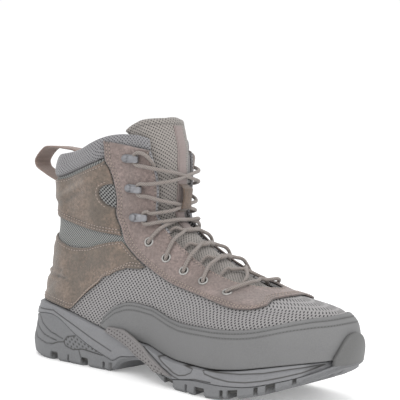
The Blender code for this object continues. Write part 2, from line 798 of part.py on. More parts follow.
def make_collar():
    """Padded roll on the upper's top edge, thin where the facing covers it."""
    count = 32
    end = float(throat_angle(height_of(COLLAR[-2].low)))
    angle = np.linspace(-end, end, count)
    low = roll_low(angle)
    high = roll_high(angle)
    covered = fade(0.44, 0.53, (1 - np.cos(angle)) / 2)
    outer = COLLAR_BULGE * (1 - covered)
    inner = -(WALL + COLLAR_PAD + (ROLL_FRONT_PAD - COLLAR_PAD) * fade(0.5, 0.66, (1 - np.cos(angle)) / 2))
    turn = np.linspace(0, 2 * np.pi, 8, endpoint=False) + np.pi / 8
    rise = np.sign(np.sin(turn)) * np.abs(np.sin(turn)) ** 0.6
    depth = np.sign(np.cos(turn)) * np.abs(np.cos(turn)) ** 0.6
    height = (low + high)[:, None] / 2 + (high - low)[:, None] / 2 * rise[None]
    offset = (outer + inner)[:, None] / 2 + (outer - inner)[:, None] / 2 * depth[None]
    points = skin(height, angle[:, None] + 0 * height, offset).reshape(-1, 3)
    sides = len(turn)
    faces = []
    for i in range(count - 1):
        for k in range(sides):
            n = (k + 1) % sides
            faces.append((i * sides + k, (i + 1) * sides + k, (i + 1) * sides + n, i * sides + n))
    faces.append(tuple(range(sides)))
    faces.append(tuple((count - 1) * sides + k for k in reversed(range(sides))))
    return add_object("collar", points, faces, *LINING)


def both_sides(angle, height):
    """Continue a lateral border, front first, through the back to the medial side."""
    return np.concatenate([-angle[::-1], angle[1:]]), np.concatenate([height[::-1], height[1:]])


def make_ankle_panel():
    s = np.linspace(0, 1, 13)
    low_angle = s * facing_back(ANKLE_LOW[-1].level)
    low = height_of(ease(ANKLE_LOW, "reach", "level", (1 - np.cos(low_angle)) / 2))
    high_angle = s * facing_back(EYESTAY[1].level - 0.01)
    high = roll_low(high_angle) - 2 * SEAT
    ankle = panel("ankle_panel", both_sides(low_angle, low), both_sides(high_angle, high), 5,
                  SEAT, SEAT + OVERLAY, SUEDE)
    return ankle


def make_heel_panel():
    s = np.linspace(0, 1, 18)
    low_angle = np.pi * ease(COUNTER, None, "low_turn", s)
    low = upper_foot(low_angle) + UPPER_HEIGHT * ease(COUNTER, None, "lift", s)
    high_level = ease(COUNTER, None, "high_level", s)
    high_angle = np.minimum(np.pi * ease(COUNTER, None, "high_turn", s), facing_back(high_level))
    return panel("heel_panel", both_sides(low_angle, low), both_sides(high_angle, height_of(high_level)),
                 6, SEAT, SEAT + OVERLAY, SUEDE)


def through_front(angle, height):
    """Continue a lateral border, back first, round the toe to the medial side."""
    return (np.concatenate([angle, 2 * np.pi - angle[-2::-1]]),
            np.concatenate([height, height[-2::-1]]))


def make_rand():
    start = angle_at((RAND[0].along - SLICES[2].back) / (SLICES[2].front - SLICES[2].back))
    angle = np.linspace(start, np.pi, 20)
    low = upper_foot(angle)
    high = low
    for _ in range(3):
        along = slice_point(high, angle)[..., 0] / SOLE_LENGTH
        high = low + RAND_HEIGHT * ease(RAND, "along", "height", along)
    return panel("rand", through_front(angle, low), through_front(angle, high), 5,
                 SEAT, SEAT + OVERLAY, SMOOTH)


def make_eyestay():
    s = np.linspace(0, 1, 25)
    outer_height = height_of(ease(EYESTAY, None, "level", s))
    outer_angle = angle_at(ease(EYESTAY, None, "reach", s))
    inner_height = height_of(ease(EYESTAY, None, "inner", s))
    inner_angle = throat_angle(inner_height)
    eyestay = panel("eyestay", through_front(outer_angle, outer_height),
                    through_front(inner_angle, inner_height), 5, FACING_SEAT, FACING_SEAT + OVERLAY,
                    SUEDE)
    combine(eyestay, make_hole_form("eyestay_holes"), "DIFFERENCE")
    return eyestay


def tongue_skin(height, angle, above):
    """The tongue's own face, moved out by above."""
    sink = ROLL_FRONT_PAD * ease(TONGUE, "level", "sink", level_of(height))
    return skin(height, angle, above - WALL - SLIDE - sink)


def make_tongue():
    columns, rows = 7, 21
    t = np.linspace(-1, 1, columns)[None, :]
    middle = ridge_levels(float(height_of(TONGUE_FOOT)), float(height_of(TONGUE_TOP)), rows - 1)
    share = (middle - middle[0]) / (middle[-1] - middle[0])
    drop = UPPER_HEIGHT * TONGUE_DROP * t ** 2
    height = middle[:, None] - drop * share[:, None] ** 3
    edge = angle_at(ease(TONGUE, "level", "reach", level_of(height)))
    angle = np.pi + (np.pi - edge) * t
    outer = tongue_skin(height, angle, 0).reshape(-1, 3)
    inner = tongue_skin(height, angle, -TONGUE_THICK).reshape(-1, 3)
    return shell("tongue", outer, inner, grid_faces(columns, rows), LINING)


def make_keeper():
    """Strap that bridges the lace in the middle of the tongue."""
    rows = 9
    height = height_of(np.linspace(KEEPER_LOW, KEEPER_HIGH, rows))[:, None]
    angle_half = np.pi - angle_at_half(height, np.full((rows, 1), KEEPER_WIDTH / 2))
    angle = np.pi + angle_half * np.linspace(-1, 1, 4)[None, :]
    arch = fade(0, 0.15, np.linspace(0, 1, rows)) * fade(0, 0.15, np.linspace(1, 0, rows))
    rise = SLIDE + (2 * LACE_RADIUS + CORD_DIP) * arch[:, None]
    inner = tongue_skin(height, angle, rise)
    outer = tongue_skin(height, angle, rise + KEEPER_THICK)
    return shell("lace_keeper", outer.reshape(-1, 3), inner.reshape(-1, 3), grid_faces(4, rows), SUEDE)


def make_pull_loop():
    s = np.linspace(0, 1, 21)
    level = ease(LOOP_OUTSIDE, None, "level", s)
    behind = ease(LOOP_OUTSIDE, None, "behind", s)
    x = slice_point(height_of(LOOP_OUTSIDE[0].level), 0.0)[0] - behind
    path = np.stack([x, height_of(level)], -1)
    along = np.gradient(path, axis=0)
    along /= np.linalg.norm(along, axis=1)[:, None]
    normal = np.stack([along[:, 1], -along[:, 0]], -1) * LOOP_THICK / 2
    points = []
    for edge in (-normal, normal):
        for y in (-LOOP_WIDTH / 2, LOOP_WIDTH / 2):
            line = path + edge
            points.append(np.column_stack([line[:, 0], np.full(len(s), y), line[:, 1]]))
    first, second, third, fourth = np.array(points)
    sheet = np.stack([first, second], 1).reshape(-1, 3)
    other = np.stack([third, fourth], 1).reshape(-1, 3)
    return shell("pull_loop", sheet, other, grid_faces(2, len(s)), WEBBING)


def seat_matrix(place, side, offset):
    """Frame on the upper: X towards the throat, Z out of the surface."""
    height = height_of(place.level)
    angle = angle_at(place.reach)
    if side > 0:
        angle = 2 * np.pi - angle
    point = Vector(skin(height, angle, offset))
    out = (Vector(skin(height, angle, offset + 0.001)) - point).normalized()
    ahead = Vector(skin(height, angle - side * 0.02, offset)) - point
    ahead = (ahead - out * ahead.dot(out)).normalized()
    frame = Matrix((ahead, out.cross(ahead), out)).transposed().to_4x4()
    frame.translation = point
    return frame


def make_hole_form(name):
    """Cutter for all eyelet holes."""
    sides = EYELET_SIDES
    points = []
    faces = []
    radius = EYELET_HOLE + SHEET_METAL + CLEAR
    turn = np.linspace(0, 2 * np.pi, sides, endpoint=False)
    for _, side in SIDES:
        for place in EYELETS:
            frame = seat_matrix(place, side, 0.0)
            first = len(points)
            for z in (-3 * WALL, 3 * OVERLAY):
                points.extend(frame @ Vector((radius * c, radius * s, z)) for c, s in zip(np.cos(turn), np.sin(turn)))
            faces.append(tuple(first + i for i in reversed(range(sides))))
            faces.append(tuple(first + sides + i for i in range(sides)))
            for i in range(sides):
                k = (i + 1) % sides
                faces.append((first + i, first + k, first + sides + k, first + sides + i))
    return add_object(name, points, faces, *METAL)


def make_eyelets():
    """Flanged tubes through facing and wall, which share one turned mesh."""
    sides = EYELET_SIDES
    top = SHEET_METAL
    foot = -(2 * SEAT + OVERLAY + WALL)
    barrel = EYELET_HOLE + SHEET_METAL
    flange = EYELET_HOLE + EYELET_FLANGE
    profile = ((EYELET_HOLE, foot), (barrel, foot), (barrel, 0), (flange, 0), (flange, top), (EYELET_HOLE, top))
    turn = np.linspace(0, 2 * np.pi, sides, endpoint=False)
    points = [(r * np.cos(a), r * np.sin(a), z) for a in turn for r, z in profile]
    count = len(profile)
    faces = []
    for i in range(sides):
        n = (i + 1) % sides
        for k in range(count):
            m = (k + 1) % count
            faces.append((i * count + k, n * count + k, n * count + m, i * count + m))
    shared = None
    for word, side in SIDES:
        for number, place in enumerate(EYELETS, 1):
            name = f"eyelet_{word}_{number}"
            if shared is None:
                made = add_object(name, points, faces, *METAL)
                shared = made.data
            else:
                made = bpy.data.objects.new(name, shared)
                bpy.context.collection.objects.link(made)
            made.matrix_world = seat_matrix(place, side, 2 * SEAT + OVERLAY)


def hook_outline():
    """Side view of a hook: plate, bend at the throat side and tongue back over the plate."""
    half = HOOK_LENGTH / 2
    bend = LACE_RADIUS + CLEAR + SHEET_METAL
    turn = np.linspace(-np.pi / 2, np.pi / 2, 6)
    arc = [(half - bend + bend * np.cos(a), bend + bend * np.sin(a)) for a in turn]
    return np.array([(-half, 0.0), (0.0, 0.0)] + arc + [(0.0, 2 * bend), (-half * 0.45, 2.25 * bend)])


def make_hooks():
    path = hook_outline()
    along = np.gradient(path, axis=0)
    along /= np.linalg.norm(along, axis=1)[:, None]
    across = np.stack([-along[:, 1], along[:, 0]], -1)
    under, over = path + 0 * across, path + SHEET_METAL * across
    width = HOOK_WIDTH / 2 * np.array([0.55, 1.0] + [0.85] * (len(path) - 4) + [0.75, 0.45])
    sheets = []
    for line in (under, over):
        left = np.column_stack([line[:, 0], -width, line[:, 1]])
        right = np.column_stack([line[:, 0], width, line[:, 1]])
        sheets.append(np.stack([left, right], 1).reshape(-1, 3))
    shared = None
    for word, side in SIDES:
        for number, place in enumerate(HOOKS, 1):
            name = f"hook_{word}_{number}"
            if shared is None:
                made = shell(name, sheets[0], sheets[1], grid_faces(2, len(path)), METAL)
                shared = made.data
            else:
                made = bpy.data.objects.new(name, shared)
                bpy.context.collection.objects.link(made)
            made.matrix_world = seat_matrix(place, side, FACING_SEAT + OVERLAY + HOOK_SEAT)


def ridge_over(angle, height):
    """Height at which the upper's front ridge comes nearest to a spot, seen from the side."""
    ridge = height_of(np.linspace(THROAT[0].level, THROAT[-1].level, 400))
    apart = slice_point(ridge, np.pi) - slice_point(height, angle)
    return float(ridge[np.argmin(np.hypot(apart[:, 0], apart[:, 2]))])


def strand(start, end, start_above, end_above):
    """Path over the tongue, square to the ridge. Ends are an angle and a height; above is how far
    an end lies over the upper's face."""
    t = np.linspace(0, 1, STRAND_POINTS)
    angle = start[0] + (end[0] - start[0]) * t
    straight = start[1] + (end[1] - start[1]) * t
    first = ridge_over(*start)
    arch = first + (ridge_over(*end) - first) * t - straight
    height = straight + arch * (1 - (2 * t - 1) ** 2)
    middle = -WALL - SLIDE + LACE_RADIUS + CORD_DIP
    side = np.where(t < 0.5, start_above, end_above)
    return skin(height, angle, middle + (side - middle) * fade(0.10, 0.65, np.abs(2 * t - 1)))


def make_laces():
    """The bar over the lowest eyelets and the crossings; each crossing is one joined solid. The
    first crossing comes from below the facings, where the bar's ends went down."""
    places = EYELETS + HOOKS
    facing = 2 * SEAT + OVERLAY
    over_eyelet = facing + SHEET_METAL + LACE_RADIUS + SEAT
    under_facing = -WALL - SLIDE + LACE_RADIUS + CORD_DIP
    by_hook = FACING_SEAT + OVERLAY + LACE_RADIUS + SEAT
    apart = LACE_RADIUS + SEAT

    def at_eyelet(place, towards):
        """On an eyelet's rim, towards the toe for 1 and towards the collar for -1."""
        angle = float(angle_at(place.reach))
        height = float(height_of(place.level))
        slope = np.linalg.norm(slice_point(height + RISE_STEP, angle) - slice_point(height, angle)) / RISE_STEP
        return angle, height - towards * apart / slope

    def at_edge(place):
        """Inside the throat, clear of its edge, where that comes nearest to an eyelet."""
        height = height_of(np.linspace(THROAT[1].level, THROAT[7].level, 300))
        angle = angle_at_half(height, THROAT_HALF - EDGE_ROOM)
        eyelet = slice_point(float(height_of(place.level)), float(angle_at(place.reach)))
        near = np.argmin(np.linalg.norm(slice_point(height, angle) - eyelet, axis=1))
        return float(angle[near]), float(height[near])

    def by_bend(place, towards):
        """In front of a hook's bend, below it for 1 and above it for -1."""
        height = float(height_of(place.level))
        length = float(slice_point(height, np.pi)[0] - slice_point(height, 0.0)[0])
        ahead = HOOK_LENGTH / 2 + LACE_RADIUS + 2 * CLEAR
        return float(angle_at(place.reach + ahead / length)), height - towards * apart

    def medial(spot):
        return 2 * np.pi - spot[0], spot[1]

    first = at_eyelet(EYELETS[0], 1)
    bar = strand(first, medial(first), over_eyelet, over_eyelet)
    tube("lace_bar", bar, LACE_RADIUS, CORD_SIDES, CORD)
    for number, (a, b) in enumerate(zip(places[:-1], places[1:]), 1):
        if number == 1:
            start, start_above = at_edge(a), under_facing
        elif a in EYELETS:
            start, start_above = at_eyelet(a, -1), over_eyelet
        else:
            start, start_above = by_bend(a, -1), by_hook
        end = at_edge(b) if b in EYELETS else by_bend(b, 1)
        above = (start_above, under_facing if b in EYELETS else by_hook)
        path = strand(start, medial(end), *above)
        other = strand(medial(start), end, *above)
        cross = tube(f"lace_cross_{number}", path, LACE_RADIUS, CORD_SIDES, CORD)
        combine(cross, tube(f"strand_form_{number}", other, LACE_RADIUS, CORD_SIDES, CORD), "UNION")


def settle():
    """Put the origin under the middle of the shoe, with the sole on the floor."""
    bpy.context.view_layer.update()
    graph = bpy.context.evaluated_depsgraph_get()
    corners = []
    for made in bpy.data.objects:
        if made.type == "MESH" and not made.hide_render:
            seen = made.evaluated_get(graph)
            spots = np.empty(len(seen.data.vertices) * 3)
            seen.data.vertices.foreach_get("co", spots)
            world = np.array(made.matrix_world)
            spots = spots.reshape(-1, 3) @ world[:3, :3].T + world[:3, 3]
            corners.append(np.stack([spots.min(0), spots.max(0)]))
    low = np.min([pair[0] for pair in corners], 0)
    high = np.max([pair[1] for pair in corners], 0)
    root = bpy.data.objects.new("boot", None)
    bpy.context.collection.objects.link(root)
    root.location = (-(low[0] + high[0]) / 2, -(low[1] + high[1]) / 2, -low[2])
    for made in bpy.data.objects:
        if made.type == "MESH":
            made.parent = root
    bpy.context.view_layer.update()


def main():
    for old in list(bpy.data.objects):
        bpy.data.objects.remove(old)
    make_outsole()
    make_midsole()
    make_arch_frames()
    make_insole()
    make_upper()
    make_collar()
    make_ankle_panel()
    make_heel_panel()
    make_rand()
    make_eyestay()
    make_tongue()
    make_keeper()
    make_pull_loop()
    make_eyelets()
    make_hooks()
    make_laces()
    settle()


main()
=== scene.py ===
import math

import bmesh
import bpy
import numpy as np
from mathutils import Matrix, Vector


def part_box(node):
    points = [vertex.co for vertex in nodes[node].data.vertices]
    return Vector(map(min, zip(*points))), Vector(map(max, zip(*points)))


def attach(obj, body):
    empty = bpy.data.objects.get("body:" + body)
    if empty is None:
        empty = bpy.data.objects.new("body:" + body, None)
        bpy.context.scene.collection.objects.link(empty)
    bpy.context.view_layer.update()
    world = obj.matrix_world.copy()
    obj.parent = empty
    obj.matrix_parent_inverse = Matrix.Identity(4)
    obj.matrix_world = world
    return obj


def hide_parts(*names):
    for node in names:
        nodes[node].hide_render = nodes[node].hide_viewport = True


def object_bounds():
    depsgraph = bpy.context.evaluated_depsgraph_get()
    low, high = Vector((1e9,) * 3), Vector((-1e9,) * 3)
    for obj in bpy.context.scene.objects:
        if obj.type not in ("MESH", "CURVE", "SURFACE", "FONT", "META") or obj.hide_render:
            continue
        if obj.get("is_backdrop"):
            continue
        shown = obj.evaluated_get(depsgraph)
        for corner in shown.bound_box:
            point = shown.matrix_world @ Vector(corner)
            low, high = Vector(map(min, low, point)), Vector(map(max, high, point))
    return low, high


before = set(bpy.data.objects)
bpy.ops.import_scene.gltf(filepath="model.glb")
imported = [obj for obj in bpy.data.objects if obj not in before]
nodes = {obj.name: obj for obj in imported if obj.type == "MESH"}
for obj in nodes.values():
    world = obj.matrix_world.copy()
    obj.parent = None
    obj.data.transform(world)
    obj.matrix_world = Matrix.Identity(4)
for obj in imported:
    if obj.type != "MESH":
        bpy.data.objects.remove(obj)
cadBox = [list(corner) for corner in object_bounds()]
soleLow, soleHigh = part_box("outsole")
# the boot's own zero: back of the sole, middle of its width, floor
origin = np.array([soleLow.x, (soleLow.y + soleHigh.y) / 2, 0.0])
mm = 0.001
print("frame loaded")

# camera and studio first

camera = {"place": (0.7431, -0.8132, 0.2084), "yaw": 35.81, "pitch": 3.66, "roll": 3.43, "lens": 112.1}
studio = {
    "floorColour": (0.86, 0.86, 0.86),
    "floorGlow": 0.22,
    "floorHalf": 40.0,
    "aim": (0, 0, 0.08),
    "sky": 1.02,
    "key": {"place": (0.5, -1.3, 1.5), "size": 1.4, "power": 14.0},
    "fill": {"place": (1.4, 0.2, 0.9), "size": 1.2, "power": 7.0},
    "rim": {"place": (-1.0, 0.6, 1.3), "size": 1.2, "power": 6.0},
}


def aimBasis(yaw, pitch, roll):
    # camera axes: right, up and back, turned about the view axis by roll
    a, e, r = (math.radians(v) for v in (yaw, pitch, roll))
    back = Vector((math.sin(a) * math.cos(e), -math.cos(a) * math.cos(e), math.sin(e)))
    right = Vector((0, 0, 1)).cross(back).normalized()
    up = back.cross(right)
    turned = right * math.cos(r) + up * math.sin(r)
    return turned, back.cross(turned), back


def makeStudio():
    # camera at the fitted place, a wide pale floor, an even sky and three soft lamps
    scene = bpy.context.scene
    view = bpy.data.cameras.new("photoCamera")
    view.sensor_width = 36
    view.lens = camera["lens"]
    view.clip_start = 0.05
    holder = bpy.data.objects.new("photoCamera", view)
    scene.collection.objects.link(holder)
    right, up, back = aimBasis(camera["yaw"], camera["pitch"], camera["roll"])
    matrix = Matrix((right, up, back)).transposed().to_4x4()
    matrix.translation = Vector(camera["place"]) + Vector(origin)
    holder.matrix_world = matrix
    scene.camera = holder

    floor = bpy.data.meshes.new("floor")
    wide = studio["floorHalf"]
    corners = [(-wide, -wide, 0), (wide, -wide, 0), (wide, wide, 0), (-wide, wide, 0)]
    floor.from_pydata(corners, [], [(0, 1, 2, 3)])
    ground = bpy.data.objects.new("floor", floor)
    scene.collection.objects.link(ground)
    paint = bpy.data.materials.new("floorPaint")
    paint.use_nodes = True
    surface = paint.node_tree.nodes["Principled BSDF"]
    surface.inputs["Base Color"].default_value = (*studio["floorColour"], 1)
    surface.inputs["Roughness"].default_value = 0.9
    surface.inputs["Emission Color"].default_value = (1, 1, 1, 1)
    surface.inputs["Emission Strength"].default_value = studio["floorGlow"]
    floor.materials.append(paint)
    ground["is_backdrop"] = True

    world = bpy.data.worlds.new("softRoom")
    scene.world = world
    world.use_nodes = True
    sky = world.node_tree.nodes["Background"]
    sky.inputs["Color"].default_value = (1, 1, 1, 1)
    sky.inputs["Strength"].default_value = studio["sky"]
    for name in ("key", "fill", "rim"):
        wish = studio[name]
        lamp = bpy.data.lights.new(name, "AREA")
        lamp.energy = wish["power"]
        lamp.size = wish["size"]
        made = bpy.data.objects.new(name, lamp)
        made.location = wish["place"]
        away = Vector(wish["place"]) - Vector(studio["aim"])
        made.rotation_euler = away.to_track_quat("Z", "Y").to_euler()
        scene.collection.objects.link(made)
    scene.view_settings.view_transform = "Standard"
    print("camera and studio")


makeStudio()


# shader maths as plain expressions


class Value:
    # a shader number or vector; the usual operators add the maths nodes
    def __init__(self, look, socket):
        # the material it belongs to and the socket that gives it
        self.look = look
        self.socket = socket

    def maths(self, operation, *others):
        # one maths node on this value and up to two others
        return self.look.node("ShaderNodeMath", {"operation": operation}, dict(enumerate((self, *others))))

    def __add__(self, other):
        return self.maths("ADD", other)

    def __sub__(self, other):
        return self.maths("SUBTRACT", other)

    def __rsub__(self, other):
        return self.look.node("ShaderNodeMath", {"operation": "SUBTRACT"}, {0: other, 1: self})

    def __mul__(self, other):
        return self.maths("MULTIPLY", other)

    __radd__ = __add__
    __rmul__ = __mul__

    def sine(self):
        # sine of the value in radians
        return self.maths("SINE")

    def most(self, other):
        # the larger of two values
        return self.maths("MAXIMUM", other)

    def step(self, low, high):
        # soft step from 0 at low to 1 at high
        return self.look.node("ShaderNodeMapRange", {"interpolation_type": "SMOOTHSTEP"},
                              {"Value": self, "From Min": low, "From Max": high})


class Look:
    # one material; node() adds any node and gives its output
    def __init__(self, name, colour, rough, **sockets):
        # one surface shader; what is the same all over goes on its own sockets
        self.material = bpy.data.materials.new(name)
        self.material.use_nodes = True
        self.tree = self.material.node_tree
        self.surface = self.tree.nodes["Principled BSDF"]
        self.surface.inputs["Base Color"].default_value = (*colour, 1)
        self.surface.inputs["Roughness"].default_value = rough
        for socket, value in sockets.items():
            self.surface.inputs[socket.replace("_", " ")].default_value = value

    def node(self, kind, settings=None, inputs=None, output=0):
        # any node: settings first, then values or links of its sockets
        made = self.tree.nodes.new(kind)
        for key, value in (settings or {}).items():
            setattr(made, key, value)
        for key, value in (inputs or {}).items():
            if isinstance(value, Value):
                self.tree.links.new(value.socket, made.inputs[key])
            else:
                made.inputs[key].default_value = value
        return Value(self, made.outputs[output])

    def put(self, socket, value):
        # links a value to the surface
        self.tree.links.new(value.socket, self.surface.inputs[socket])

    def place(self):
        # object coordinates in metres
        return self.node("ShaderNodeTexCoord", output="Object")

    def noise(self, scale, detail=2.0, rough=0.5, place=None):
        # fractal noise, about 0 to 1, with scale waves in a metre
        return self.node("ShaderNodeTexNoise", None, {"Vector": place or self.place(), "Scale": scale,
                                                      "Detail": detail, "Roughness": rough})

    def lengths(self):
        # the piece's own two lengths over its surface, in metres
        both = self.node("ShaderNodeUVMap", {"uv_map": "lengths"})
        parts = self.node("ShaderNodeSeparateXYZ", None, {0: both}).socket.node.outputs
        return Value(self, parts[0]), Value(self, parts[1])

    def paintedShading(self):
        # painted shading per point: below 0 is painted shade in troughs, seams, grooves and at edges, above 0
        # is painted highlight on ridges
        return self.node("ShaderNodeAttribute", {"attribute_name": "paintedShading"}, output="Fac")

    def blend(self, share, first, second):
        # first colour at share 0, second at 1
        def colour(given):
            # a value stays, numbers get their alpha
            return given if isinstance(given, Value) else (*given, 1)
        # the node's colour sockets are 6 and 7 in and 2 out
        inputs = {0: share, 6: colour(first), 7: colour(second)}
        return self.node("ShaderNodeMix", {"data_type": "RGBA"}, inputs, 2)

    def bump(self, height, distance, strength=1.0):
        # height from 0 to 1 stands for distance in metres
        self.put("Normal", self.node("ShaderNodeBump", None, {"Height": height, "Distance": distance,
                                                              "Strength": strength}))

    def paintShadeAndHighlight(self, colour, dark=0.25, light=0.35):
        # painted shade darkens troughs and seams, painted highlight lightens ridges
        paintedShading = self.paintedShading()
        darker = self.blend((paintedShading * -1.0).step(0.0, 1.0), colour, (dark * 0.2, dark * 0.19, dark * 0.18))
        return self.blend(paintedShading.step(0.0, 1.6) * light, darker, (0.6, 0.56, 0.52))


def suede(name, colour, deep):
    # slow patches between two colours, mottled by two scales of nap, with rubbed light spots
    look = Look(name, colour, 0.95, Sheen_Weight=0.25, Sheen_Roughness=0.6)
    patches = look.noise(34, 5, 0.65).step(0.38, 0.62)
    nap = look.noise(420, 3, 0.7)
    fine = look.noise(1500, 2, 0.8)
    base = look.blend(patches, deep, colour)
    mottled = look.blend((nap * 0.6 + fine * 0.4).step(0.36, 0.66), tuple(c * 0.68 for c in deep), base)
    rubbed = look.noise(75, 5, 0.75).step(0.52, 0.74) * 0.4
    worn = look.blend(rubbed, mottled, tuple(min(1, c * 1.45) for c in colour))
    look.put("Base Color", look.paintShadeAndHighlight(worn))
    look.bump(nap * 0.5 + fine * 0.5, 0.7 * mm, 0.9)
    return look.material


def openMesh(name, thread, hole, pitch, turn=0.0, band=(0.25, 0.65), depth=0.45):
    # staggered holes: the product of two sines over the two lengths, turned by an angle
    look = Look(name, thread, 0.9, Sheen_Weight=0.15)
    u, v = look.lengths()
    k = math.pi / pitch
    c, s = math.cos(turn), math.sin(turn)
    across = u * (k * c) + v * (k * s)
    up = v * (k * c) - u * (k * s)
    lattice = across.sine() * up.sine()
    holes = lattice.step(*band)
    threads = look.noise(900, 2, 0.6)
    worn = look.blend(threads.step(0.3, 0.7), tuple(c * 0.82 for c in thread), thread)
    look.put("Base Color", look.paintShadeAndHighlight(look.blend(holes, worn, hole)))
    look.bump((1 - holes) + threads * 0.25, depth * mm)
    return look.material


def ribbedMesh(name, thread, groove, pitch, turn):
    # slanted ribs over the two lengths, broken by fine cross threads
    look = Look(name, thread, 0.9, Sheen_Weight=0.15)
    u, v = look.lengths()
    k = 2 * math.pi / pitch
    ribs = (u * (k * math.cos(turn)) - v * (k * math.sin(turn))).sine()
    cross = (u * (k * math.sin(turn)) + v * (k * math.cos(turn))).sine() * 0.3
    grooves = (ribs + cross).step(0.05, 0.75)
    look.put("Base Color", look.paintShadeAndHighlight(look.blend(grooves, thread, groove)))
    look.bump(1 - grooves, 0.5 * mm)
    return look.material


def moulded(name, colour, rough, grain=0.12, scale=700):
    # slow shade plus fine speck, which also gives roughness and bump
    look = Look(name, colour, rough)
    spread = look.noise(30, 3, 0.6).step(0.3, 0.7)
    speck = look.noise(scale, 2, 0.6)
    base = look.blend(spread, tuple(c * 0.9 for c in colour), colour)
    specked = look.blend(speck.step(0.3, 0.75), base, tuple(c * 1.08 for c in colour))
    look.put("Base Color", look.paintShadeAndHighlight(specked, 0.2, 0.15))
    look.put("Roughness", speck * 0.2 + (rough - 0.1))
    look.bump(speck, grain * mm)
    return look.material


def webbing(name, colour, dark, rib):
    # sine ribs along the first length, a finer sine weave along the second
    look = Look(name, colour, 0.9, Sheen_Weight=0.2)
    u, v = look.lengths()
    ribs = (u * (2 * math.pi / rib)).sine() * 0.5 + 0.5
    weave = (v * (2 * math.pi / (rib * 0.8))).sine() * 0.5 + 0.5
    height = ribs * 0.75 + weave * 0.25
    look.put("Base Color", look.paintShadeAndHighlight(look.blend(height.step(0.1, 0.9), dark, colour)))
    look.bump(height, 0.35 * mm)
    return look.material


def braid(name, colour, dark, pitch):
    # two sine waves that slant against each other round the cord, the larger on top
    look = Look(name, colour, 0.85, Sheen_Weight=0.2)
    u, v = look.lengths()
    one = (u * (2 * math.pi / pitch) + v * (math.pi * 1300)).sine()
    two = (u * (2 * math.pi / pitch) - v * (math.pi * 1300)).sine()
    plaits = one.most(two) * 0.5 + 0.5
    look.put("Base Color", look.blend(plaits.step(0.2, 0.9), dark, colour))
    look.bump(plaits, 0.3 * mm)
    return look.material


def metal(name, colour, rough):
    # dull metal whose colour and roughness follow one slow noise
    look = Look(name, colour, rough, Metallic=0.75)
    worn = look.noise(160, 4, 0.7)
    look.put("Base Color", look.blend(worn.step(0.35, 0.7), tuple(c * 0.7 for c in colour), colour))
    look.put("Roughness", worn * 0.3 + (rough - 0.1))
    look.bump(look.noise(900, 2), 0.05 * mm)
    return look.material


finishes = {
    "suede": suede("suede", (0.212, 0.152, 0.116), (0.126, 0.101, 0.080)),
    "suedeFront": suede("suedeFront", (0.268, 0.206, 0.190), (0.192, 0.150, 0.136)),
    "strap": suede("strapSuede", (0.15, 0.10, 0.07), (0.11, 0.075, 0.053)),
    "vamp": openMesh("vampMesh", (0.268, 0.258, 0.258), (0.014, 0.013, 0.014), 1.75 * mm, 0.0, (0.24, 0.56)),
    "gap": ribbedMesh("ankleMesh", (0.235, 0.238, 0.230), (0.022, 0.025, 0.025), 1.7 * mm, 0.60),
    "window": openMesh("windowMesh", (0.25, 0.25, 0.245),
                       (0.005, 0.006, 0.006), 1.6 * mm, 0.0, (-0.08, 0.25)),
    "collar": openMesh("collarMesh", (0.235, 0.230, 0.238),
                       (0.02, 0.02, 0.021), 1.45 * mm, 0.0, (0.22, 0.75), 0.3),
    "tongue": openMesh("tongueMesh", (0.272, 0.250, 0.232),
                       (0.028, 0.026, 0.024), 1.55 * mm, 0.1, (0.16, 0.80)),
    "lining": openMesh("lining", (0.16, 0.155, 0.155),
                       (0.09, 0.088, 0.088), 1.4 * mm, 0.0, (0.5, 0.95), 0.15),
    "rand": moulded("randSkin", (0.140, 0.140, 0.141), 0.62, 0.05, 1100),
    "foam": moulded("midsoleFoam", (0.172, 0.173, 0.180), 0.66, 0.05),
    "rubber": moulded("soleRubber", (0.148, 0.150, 0.155), 0.72, 0.06),
    "bumper": moulded("bumperRubber", (0.098, 0.098, 0.097), 0.55, 0.05),
    "frame": moulded("archFrame", (0.172, 0.162, 0.161), 0.6, 0.04),
    "webbing": webbing("loopWebbing", (0.30, 0.225, 0.195), (0.15, 0.107, 0.09), 1.5 * mm),
    "strip": webbing("tongueStrip", (0.275, 0.225, 0.215), (0.17, 0.135, 0.125), 1.5 * mm),
    "lace": braid("laceBraid", (0.262, 0.228, 0.208), (0.095, 0.08, 0.07), 1.9 * mm),
    "metal": metal("hookMetal", (0.27, 0.27, 0.285), 0.5),
    "ring": metal("ringMetal", (0.42, 0.41, 0.395), 0.42),
    "thread": moulded("thread", (0.30, 0.245, 0.215), 0.85, 0.05),
    "greyThread": moulded("greyThread", (0.135, 0.135, 0.135), 0.8, 0.05),
}
print("finishes")


# building meshes from whole arrays


def gridFaces(rows, columns, wrap=False):
    # quads of a grid; with wrap the last column joins the first
    r, c = np.meshgrid(np.arange(rows - 1), np.arange(columns if wrap else columns - 1), indexing="ij")
    n = (c + 1) % columns
    here, above = r * columns, (r + 1) * columns
    return np.stack([here + c, here + n, above + n, above + c], -1).reshape(-1, 4)


